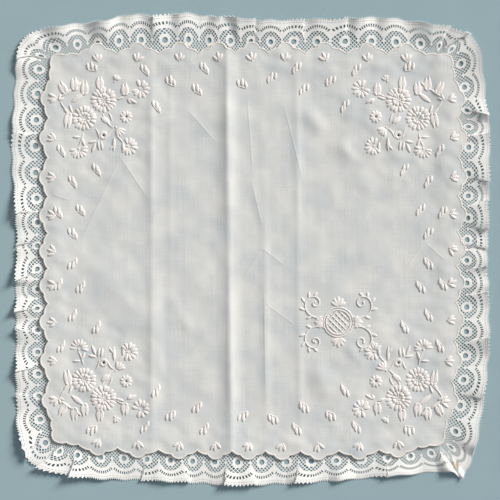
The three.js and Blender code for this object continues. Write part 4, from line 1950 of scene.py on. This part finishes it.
@dataclass
class Embroidery:
    """A joined piece of embroidery that lies on the linen.

    Every form is sunk into the cloth by "sink". The sizes of a cord are over its half width: how
    thick its ends are, how high its middle lies and half its height.
    """

    name: str
    linen: LinenPlan
    forms: StitchForms
    sink: float = 0.06
    cord_taper_steps: int = 2
    cord_end: float = 0.45
    cord_lift: float = 0.5
    cord_height: float = 0.9
    points: list[Array] = field(default_factory=list)
    faces: list[list[int]] = field(default_factory=list)
    uv: list[Array] = field(default_factory=list)
    count: int = 0

    def add(self, points: Array, faces: list[list[int]], uv: Array) -> None:
        """Adds a shape whose heights are above the linen.

        Args:
            points: its plan points and heights.
            faces: its faces.
            uv: the map place of each corner.
        """
        raised = points.copy()
        raised[:, 2] += self.linen.top(points[:, :2]) - self.sink
        self.points.append(raised)
        self.faces += [[corner + self.count for corner in face] for face in faces]
        self.uv.append(uv)
        self.count += len(points)

    def satin(self, form: Form, root: Pair, turn: float, size: Triple) -> None:
        """Lays one padded form.

        Args:
            form: which form.
            root: place of its foot.
            turn: the way its tip points, in radians.
            size: its length, width and height.
        """
        shape, faces = self.forms.forms[form]
        length, width, height = size
        u, v = shape[:, 0] * length, shape[:, 1] * width
        cos, sin = math.cos(turn), math.sin(turn)
        x, y = root[0] + u * cos - v * sin, root[1] + u * sin + v * cos
        corners = np.concatenate(faces)
        map_places = np.column_stack([u[corners], v[corners]])
        self.add(np.column_stack([x, y, shape[:, 2] * height]), faces, map_places)

    def cord(self, path: Array, half_width: float) -> None:
        """Lays a thin corded line with tapered ends.

        Args:
            path: its plan points.
            half_width: half its width.
        """
        ends = np.minimum(np.arange(len(path)), np.arange(len(path))[::-1])
        full = np.clip(ends / self.cord_taper_steps, 0, 1)
        half = half_width * (self.cord_end + (1 - self.cord_end) * full)
        raised = np.column_stack([path, half * self.cord_lift])
        tube = Tube(raised, half, half * self.cord_height, sides=6)
        self.add(*tube.arrays())

    def build(self) -> Piece:
        """Joins what was laid into one piece."""
        return mesh_object(self.name, np.concatenate(self.points), self.faces, np.concatenate(self.uv))


@dataclass
class CornerSprays(Embroidery):
    """The four sprays of daisies, buds and leaves, mirrored into the corners.

    A daisy ring has its near and far share of the flower's reach and its height. A "fullness" is a
    width over the room there is, a "size" is a length, a width and a height, and an "uneven" is the
    least and the most of a random factor or turn. Fans that spread further than "open_spread" leave
    more of their middle open.
    """

    draw: np.random.Generator = field(default_factory=lambda: np.random.default_rng(11))
    quarters: tuple[Quarter, ...] = ((1, 1), (-1, 1), (-1, -1), (1, -1))
    daisy_rings: tuple[Triple, ...] = ((0.5, 1, 0.6), (0.22, 0.53, 0.64))
    daisy_fullness: float = 0.92
    daisy_sway: float = 0.2
    daisy_uneven: Pair = (0.92, 1.06)
    knots: int = 5
    knot_share: float = 0.12
    knot_uneven: Pair = (0, 0.5)
    knot_size: Triple = (0.8, 0.7, 0.45)
    open_spread: float = 120
    open_share: float = 0.25
    closed_share: float = 0.06
    fan_widths: Pair = (2, 2.7)
    fan_height: float = 0.58
    fan_sway: Pair = (-4, 4)
    fan_uneven: Pair = (0.9, 1.05)
    calyx_size: Triple = (1.6, 1.1, 0.5)
    bud_width: float = 2.5
    bud_height: float = 0.55
    bud_uneven: Pair = (0.95, 1.04)
    bud_calyx_lean: float = 0.7
    bud_calyx_size: Triple = (3.2, 1.7, 0.65)
    eyelet_rim: float = 0.15
    eyelet_fullness: float = 0.72
    eyelet_height: float = 0.55
    leaf_fullness: float = 1.15
    leaf_height: float = 0.6
    stem_steps: int = 9
    stem_half: float = 0.42

    def place(self, quarter: Quarter, x: float, y: float) -> Pair:
        """Takes a place of the spray to its quarter."""
        return DESIGN_MIDDLE[0] + quarter[0] * x, DESIGN_MIDDLE[1] + quarter[1] * y

    def turned(self, quarter: Quarter, turn: float) -> float:
        """Takes a direction in the spray to its quarter, in radians."""
        return math.atan2(quarter[1] * math.sin(turn), quarter[0] * math.cos(turn))

    def lay_daisy(self, quarter: Quarter, daisy: Daisy) -> None:
        """Lays a ring of long petals, a ring of short ones and an open knotted middle.

        Args:
            quarter: the spray's quarter.
            daisy: the flower.
        """
        middle = self.place(quarter, daisy.x, daisy.y)
        for count, (near, far, height) in zip((daisy.petals, daisy.inner), self.daisy_rings):
            widest = near + PETAL_WIDEST * (far - near)
            width = self.daisy_fullness * 2 * math.pi * daisy.reach * widest / count
            for petal in range(count):
                turn = 2 * math.pi * (petal + self.daisy_sway * self.draw.uniform(-1, 1)) / count
                length = daisy.reach * (far - near) * self.draw.uniform(*self.daisy_uneven)
                root = step_from(middle, turn, daisy.reach * near)
                self.satin(Form.PETAL, root, turn, (length, width, height))
        for knot in range(self.knots):
            turn = 2 * math.pi * (knot + self.draw.uniform(*self.knot_uneven)) / self.knots
            root = step_from(middle, turn, self.knot_share * daisy.reach)
            self.satin(Form.KNOT, root, turn, self.knot_size)

    def lay_fan(self, quarter: Quarter, fan: Fan) -> None:
        """Lays petals that open from one point, on a short calyx.

        Args:
            quarter: the spray's quarter.
            fan: the flower.
        """
        middle = self.place(quarter, fan.x, fan.y)
        near = fan.reach * (self.open_share if fan.spread > self.open_spread else self.closed_share)
        widest = near + PETAL_WIDEST * (fan.reach - near)
        width = float(np.clip(math.radians(fan.spread) * widest / fan.petals, *self.fan_widths))
        for petal in range(fan.petals):
            share = petal / (fan.petals - 1) - 0.5
            degrees = fan.turn + fan.spread * share + self.draw.uniform(*self.fan_sway)
            turn = self.turned(quarter, math.radians(degrees))
            length = (fan.reach - near) * self.draw.uniform(*self.fan_uneven)
            self.satin(Form.PETAL, step_from(middle, turn, near), turn, (length, width, self.fan_height))
        back = self.turned(quarter, math.radians(fan.turn + 180))
        self.satin(Form.LEAF, middle, back, self.calyx_size)

    def lay_bud(self, quarter: Quarter, bud: Bud) -> None:
        """Lays two outer petals that close round two inner ones, on a short calyx.

        Args:
            quarter: the spray's quarter.
            bud: the bud.
        """
        x, y = self.place(quarter, bud.x, bud.y)
        turn = self.turned(quarter, math.radians(bud.turn))
        for apart, lean, share in BUD_PETALS:
            foot = (x - apart * math.sin(turn), y + apart * math.cos(turn))
            length = bud.reach * share * self.draw.uniform(*self.bud_uneven)
            self.satin(Form.LEAF, foot, turn + lean, (length, self.bud_width, self.bud_height))
        for lean in (-self.bud_calyx_lean, self.bud_calyx_lean):
            self.satin(Form.LEAF, (x, y), turn + lean, self.bud_calyx_size)

    def lay_eyelet(self, quarter: Quarter, eyelet: Eyelet) -> None:
        """Lays stitches round an eyelet.

        Args:
            quarter: the spray's quarter.
            eyelet: the eyelet.
        """
        middle = self.place(quarter, eyelet.x, eyelet.y)
        near = eyelet.radius + self.eyelet_rim
        width = 2 * math.pi * eyelet.reach / eyelet.petals * self.eyelet_fullness
        size = (eyelet.reach - near, width, self.eyelet_height)
        for petal in range(eyelet.petals):
            turn = 2 * math.pi * petal / eyelet.petals
            self.satin(Form.PETAL, step_from(middle, turn, near), turn, size)

    def lay_stem(self, quarter: Quarter, stem: Stem) -> None:
        """Lays a bent stem.

        Args:
            quarter: the spray's quarter.
            stem: the stem.
        """
        start = np.array(self.place(quarter, stem.x0, stem.y0))
        run = np.array(self.place(quarter, stem.x1, stem.y1)) - start
        share = np.linspace(0, 1, self.stem_steps)[:, None]
        aside = np.array([-run[1], run[0]]) / np.hypot(*run)
        bend = stem.bend * quarter[0] * quarter[1]
        self.cord(start + run * share + aside * bend * 4 * share * (1 - share), self.stem_half)

    def lay(self) -> None:
        """Lays the four sprays."""
        for quarter in self.quarters:
            for daisy in SPRAY_DAISIES:
                self.lay_daisy(quarter, daisy)
            for fan in SPRAY_FANS:
                self.lay_fan(quarter, fan)
            for bud in SPRAY_BUDS:
                self.lay_bud(quarter, bud)
            for leaf in SPRAY_LEAVES:
                foot = self.place(quarter, leaf.x0, leaf.y0)
                tip = self.place(quarter, leaf.x1, leaf.y1)
                run = (tip[0] - foot[0], tip[1] - foot[1])
                size = (math.hypot(*run), leaf.width * self.leaf_fullness, self.leaf_height)
                self.satin(Form.LEAF, foot, math.atan2(run[1], run[0]), size)
            for stem in SPRAY_STEMS:
                self.lay_stem(quarter, stem)
            for eyelet in SPRAY_EYELETS:
                self.lay_eyelet(quarter, eyelet)

    def eyelets(self) -> list[Triple]:
        """Gives the middle and the radius of every eyelet hole in the linen."""
        spots = [(quarter, eyelet) for quarter in self.quarters for eyelet in SPRAY_EYELETS]
        return [(*self.place(quarter, hole.x, hole.y), hole.radius) for quarter, hole in spots]


@dataclass
class LeafSprigs(Embroidery):
    """The small sprigs strewn inside the edge, one in every lobe and more further in.

    The leaves of a sprig stand "spacing" apart, "slant" degrees from the x axis, in a row whose
    middle is raised by "arch". Its stalk goes past the outer feet by "stalk_ends". A "size" is a
    length, a width and a height, and an "uneven" the least and the most of a random factor or turn.
    """

    draw: np.random.Generator = field(default_factory=lambda: np.random.default_rng(23))
    spacing: float = 2.8
    slant: float = 82
    slant_uneven: Pair = (-6, 6)
    arch: float = 0.8
    leaf_uneven: Pair = (0.92, 1.08)
    leaf_height: float = 0.6
    stalk_ends: Pair = (0.5, 0.4)
    stalk_steps: int = 7
    stalk_half: float = 0.36
    fork_root: float = 2.9
    fork_gap: float = 0.8
    fork_width: float = 2.3
    fork_turn: Pair = (-0.5, 0.5)
    fork_lean: Pair = (-0.12, 0.12)
    fork_uneven: Pair = (0.9, 1.1)
    knot_size: Triple = (1.6, 1.4, 0.5)

    def sprig(self, spot: Pair, run: float, quarter: Quarter) -> None:
        """Lays three slanting leaves side by side, with a stalk along their feet.

        Args:
            spot: middle of the sprig in its quarter.
            run: the way the leaves follow each other, in degrees.
            quarter: 1 or -1 for x and for y.
        """
        angle = math.radians(run)
        along = np.array([quarter[0] * math.cos(angle), quarter[1] * math.sin(angle)])
        aside = np.array([-quarter[0] * math.sin(angle), quarter[1] * math.cos(angle)])
        feet = []
        for place, length, width in SPRIG_LEAVES:
            slant = math.radians(self.slant + self.draw.uniform(*self.slant_uneven))
            pointed = np.array([quarter[0] * math.cos(slant), quarter[1] * math.sin(slant)])
            raised = aside * self.arch * (1 - abs(place))
            foot = np.array(quarter) * spot + along * place * self.spacing + raised - pointed * length / 2
            feet.append(foot)
            turn = math.atan2(pointed[1], pointed[0])
            size = (length * self.draw.uniform(*self.leaf_uneven), width, self.leaf_height)
            self.satin(Form.LEAF, foot, turn, size)
        start = feet[0] - along * self.stalk_ends[0]
        end = feet[2] + along * self.stalk_ends[1]
        share = np.linspace(0, 1, self.stalk_steps)[:, None]
        path = (1 - share) ** 2 * start + 2 * share * (1 - share) * feet[1] + share**2 * end
        self.cord(path, self.stalk_half)

    def fork(self, middle: Pair, turn: float) -> None:
        """Lays three spread leaves on a knot.

        Args:
            middle: middle of the fork.
            turn: the way it points, in radians.
        """
        root = step_from(middle, turn, -self.fork_root)
        for aside, length in FORK_LEAVES:
            lean = turn + aside + self.draw.uniform(*self.fork_lean)
            size = (length * self.draw.uniform(*self.fork_uneven), self.fork_width, self.leaf_height)
            self.satin(Form.LEAF, step_from(root, lean, self.fork_gap), lean, size)
        self.satin(Form.KNOT, root, turn, self.knot_size)

    def lay(self) -> None:
        """Lays all the sprigs."""
        for side, shape in enumerate(SIDES):
            outward = math.pi / 2 * (1 - side)
            for lobe in shape.lobes:
                spot = plan_point(side, lobe, self.linen.notch_line(side, lobe) - LOBE_SPRIG_INSET)
                self.fork(spot, outward + self.draw.uniform(*self.fork_turn))
        for x, y, run in QUARTER_SPRIGS:
            for quarter in ((-1, -1), (-1, 1), (1, -1), (1, 1)):
                self.sprig((x, y), run, quarter)
        for x, y, run in LONE_SPRIGS:
            quarter = (int(math.copysign(1, x)), int(math.copysign(1, y)))
            self.sprig((abs(x), abs(y)), run, quarter)


@dataclass
class CordedOrnament(Embroidery):
    """A generic ornament: a corded medallion with a lattice, tendrils, leaves and small flowers.

    Each ring has its size over the medallion's and half its width. A "half" is half a cord's width.
    """

    medallion: float = 8.6
    rings: tuple[Pair, ...] = ((1, 0.5), (1.2, 0.42))
    ring_steps: int = 49
    bars_each_side: int = 2
    bar_spacing: float = 3
    bar_gap: float = 0.3
    bar_steps: int = 9
    bar_half: float = 0.42
    tendril_middle: Pair = (16.4, 13.2)
    tendril_root: Pair = (6.6, 5.6)
    tendril_turns: float = 1.55
    tendril_end: float = 1.1
    tendril_steps: int = 44
    tendril_half: float = 0.46
    tendril_knot: Triple = (1.5, 1.4, 0.6)
    leaf_lean: float = 0.85
    leaf_width: float = 2
    leaf_height: float = 0.55
    flower_edge: float = 1.28
    flower_leans: tuple[float, ...] = (-1.05, -0.52, 0, 0.52, 1.05)
    flower_taper: float = 0.16
    flower_width: float = 2.5
    flower_height: float = 0.58

    def at(self, place: Pair) -> Pair:
        """Takes a place from the ornament's middle to the plan."""
        return ORNAMENT_MIDDLE[0] + place[0], ORNAMENT_MIDDLE[1] + place[1]

    def line(self, points: Array, half_width: float) -> None:
        """Lays a corded line from the ornament's middle."""
        self.cord(points + ORNAMENT_MIDDLE, half_width)

    def lay_medallion(self) -> None:
        """Lays two corded rings and the crossed bars in them."""
        turns = np.linspace(0, 2 * math.pi, self.ring_steps)
        for grow, half in self.rings:
            self.line(np.column_stack([np.cos(turns), np.sin(turns)]) * self.medallion * grow, half)
        diagonal = math.sqrt(0.5)
        for step in np.arange(-self.bars_each_side, self.bars_each_side + 1) * self.bar_spacing:
            half_bar = math.sqrt(self.medallion**2 - step**2) - self.bar_gap
            share = np.linspace(-half_bar, half_bar, self.bar_steps)
            for lean in (-1, 1):
                x, y = (share - lean * step) * diagonal, (lean * share + step) * diagonal
                self.line(np.column_stack([x, y]), self.bar_half)

    def tendril(self, sides: Quarter) -> Array:
        """Lays out a tendril from the medallion outwards, and round into a tight curl.

        Args:
            sides: 1 or -1 for x and for y.

        Returns:
            Its path from the ornament's middle.
        """
        middle, root = np.array(self.tendril_middle), np.array(self.tendril_root)
        start = root - middle
        reach = np.hypot(*start)
        share = np.linspace(0, 1, self.tendril_steps)
        turn = math.atan2(start[1], start[0]) + share * self.tendril_turns * 2 * math.pi
        radius = reach * (self.tendril_end / reach) ** share
        path = middle + np.column_stack([np.cos(turn), np.sin(turn)]) * radius[:, None]
        return path * sides

    def lay_tendril(self, sides: Quarter) -> None:
        """Lays one tendril with leaves along the outside of its curl.

        Args:
            sides: 1 or -1 for x and for y.
        """
        path = self.tendril(sides)
        self.line(path, self.tendril_half)
        outside = -sides[0] * sides[1] * self.leaf_lean
        for place, length in TENDRIL_LEAVES:
            ahead = path[place + 1] - path[place - 1]
            turn = math.atan2(ahead[1], ahead[0]) + outside
            self.satin(Form.LEAF, self.at(path[place]), turn, (length, self.leaf_width, self.leaf_height))
        self.satin(Form.KNOT, self.at(path[-1]), 0, self.tendril_knot)

    def lay_flower(self, angle: float, reach: float) -> None:
        """Lays a small open flower outside the medallion.

        Args:
            angle: where it stands and the way it opens, in radians.
            reach: length of its middle petal.
        """
        root = self.at(step_from((0, 0), angle, self.medallion * self.flower_edge))
        for lean in self.flower_leans:
            length = reach * (1 - self.flower_taper * abs(lean))
            self.satin(Form.PETAL, root, angle + lean, (length, self.flower_width, self.flower_height))

    def lay(self) -> None:
        """Lays the whole ornament."""
        self.lay_medallion()
        for sides in ((-1, -1), (-1, 1), (1, -1), (1, 1)):
            self.lay_tendril(sides)
        for turn, reach in ORNAMENT_FLOWERS:
            self.lay_flower(turn * math.pi, reach)


# The studio


@dataclass
class Studio:
    """The pale floor, the soft lights and the camera above."""

    frame_width: float = 350 * MM
    frame_middle: Pair = (-0.35 * MM, -1.05 * MM)
    camera_height: float = 1.4
    sensor: float = 36
    sun_strength: float = 4.5
    sun_angle: float = math.radians(20)
    sun_from: Triple = (1.0, 0.8, 0.6)
    sun_colour: Triple = (1.0, 0.97, 0.93)
    sky: Colour = (0.92, 0.96, 1.0, 1)
    sky_strength: float = 0.31
    floor_colour: Colour = (0.31, 0.43, 0.47, 1)
    floor_drop: float = 0.3 * MM
    floor_size: float = 8
    floor_grain: float = 40
    floor_paler: float = 1.08
    floor_roughness: float = 0.9

    def lay_floor(self) -> None:
        """Makes the floor, just below what lies on it."""
        bpy.ops.object.select_all(action="DESELECT")
        bpy.ops.mesh.primitive_plane_add(size=self.floor_size, location=(0, 0, -self.floor_drop))
        floor = bpy.context.active_object
        floor.name = "floor"
        bpy.ops.object.transform_apply(location=True, rotation=True, scale=True)
        material = bpy.data.materials.new("pale_floor")
        material.use_nodes = True
        board = Board(material.node_tree)
        shader = material.node_tree.nodes["Principled BSDF"]
        coordinates = board.node("ShaderNodeTexCoord")
        grain = board.noise(coordinates.outputs["Object"], self.floor_grain, 4)
        paler = (*(value * self.floor_paler for value in self.floor_colour[:3]), 1)
        board.tree.links.new(board.blend(grain, self.floor_colour, paler), shader.inputs["Base Color"])
        shader.inputs["Roughness"].default_value = self.floor_roughness
        floor.data.materials.append(material)

    def light(self) -> None:
        """Sets the key light from the upper right and the soft light all round."""
        sun = bpy.data.lights.new("key", "SUN")
        sun.energy = self.sun_strength
        sun.angle = self.sun_angle
        sun.color = self.sun_colour
        key = bpy.data.objects.new("key", sun)
        key.rotation_euler = Vector(self.sun_from).to_track_quat("Z", "Y").to_euler()
        bpy.context.scene.collection.objects.link(key)
        world = bpy.data.worlds.new("soft_room")
        world.use_nodes = True
        background = world.node_tree.nodes["Background"]
        background.inputs["Color"].default_value = self.sky
        background.inputs["Strength"].default_value = self.sky_strength
        bpy.context.scene.world = world

    def camera(self) -> None:
        """Hangs the camera straight above, with the frame's width at the cloth."""
        lens = bpy.data.cameras.new("above")
        lens.sensor_width = self.sensor
        lens.lens = self.sensor * self.camera_height / self.frame_width
        camera = bpy.data.objects.new("above", lens)
        camera.location = (*self.frame_middle, self.camera_height)
        bpy.context.scene.collection.objects.link(camera)
        bpy.context.scene.camera = camera
        bpy.context.scene.view_settings.view_transform = "Standard"

    def build(self) -> None:
        """Sets up the whole studio."""
        self.camera()
        self.light()
        self.lay_floor()


def main() -> None:
    """Builds every piece in order."""
    logging.basicConfig(level=logging.INFO, format="%(message)s")
    Studio().build()
    linen_plan = LinenPlan()
    patterns = {Pattern.WOVEN: WovenThreads().build(), Pattern.STITCHED: LaidStitches().build()}
    thread = THREAD_FINISH.material(patterns)

    forms = StitchForms()
    forms.model()
    sprays = CornerSprays("corner_sprays", linen_plan, forms)
    sprigs = LeafSprigs("leaf_sprigs", linen_plan, forms)
    ornament = CordedOrnament("corded_ornament", linen_plan, forms)
    for work in (sprays, sprigs, ornament):
        work.lay()
        piece = work.build()
        dress(piece, thread, Slot.EMBROIDERY)

    cord = EdgeCord(linen_plan).build()
    dress(cord, CORD_FINISH.material(patterns), Slot.EMBROIDERY)

    linen = LinenSquare(linen_plan, sprays.eyelets()).build()
    dress(linen, LINEN_FINISH.material(patterns), Slot.LINEN)
    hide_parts("linen_square")

    frill = LaceFrill(FrillPlan(linen_plan))
    lace = frill.build()
    dress(lace, LACE_FINISH.material(patterns), Slot.LACE)
    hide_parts("lace_frill")
    frill.cell.flat_area()


if __name__ == "__main__":
    main()
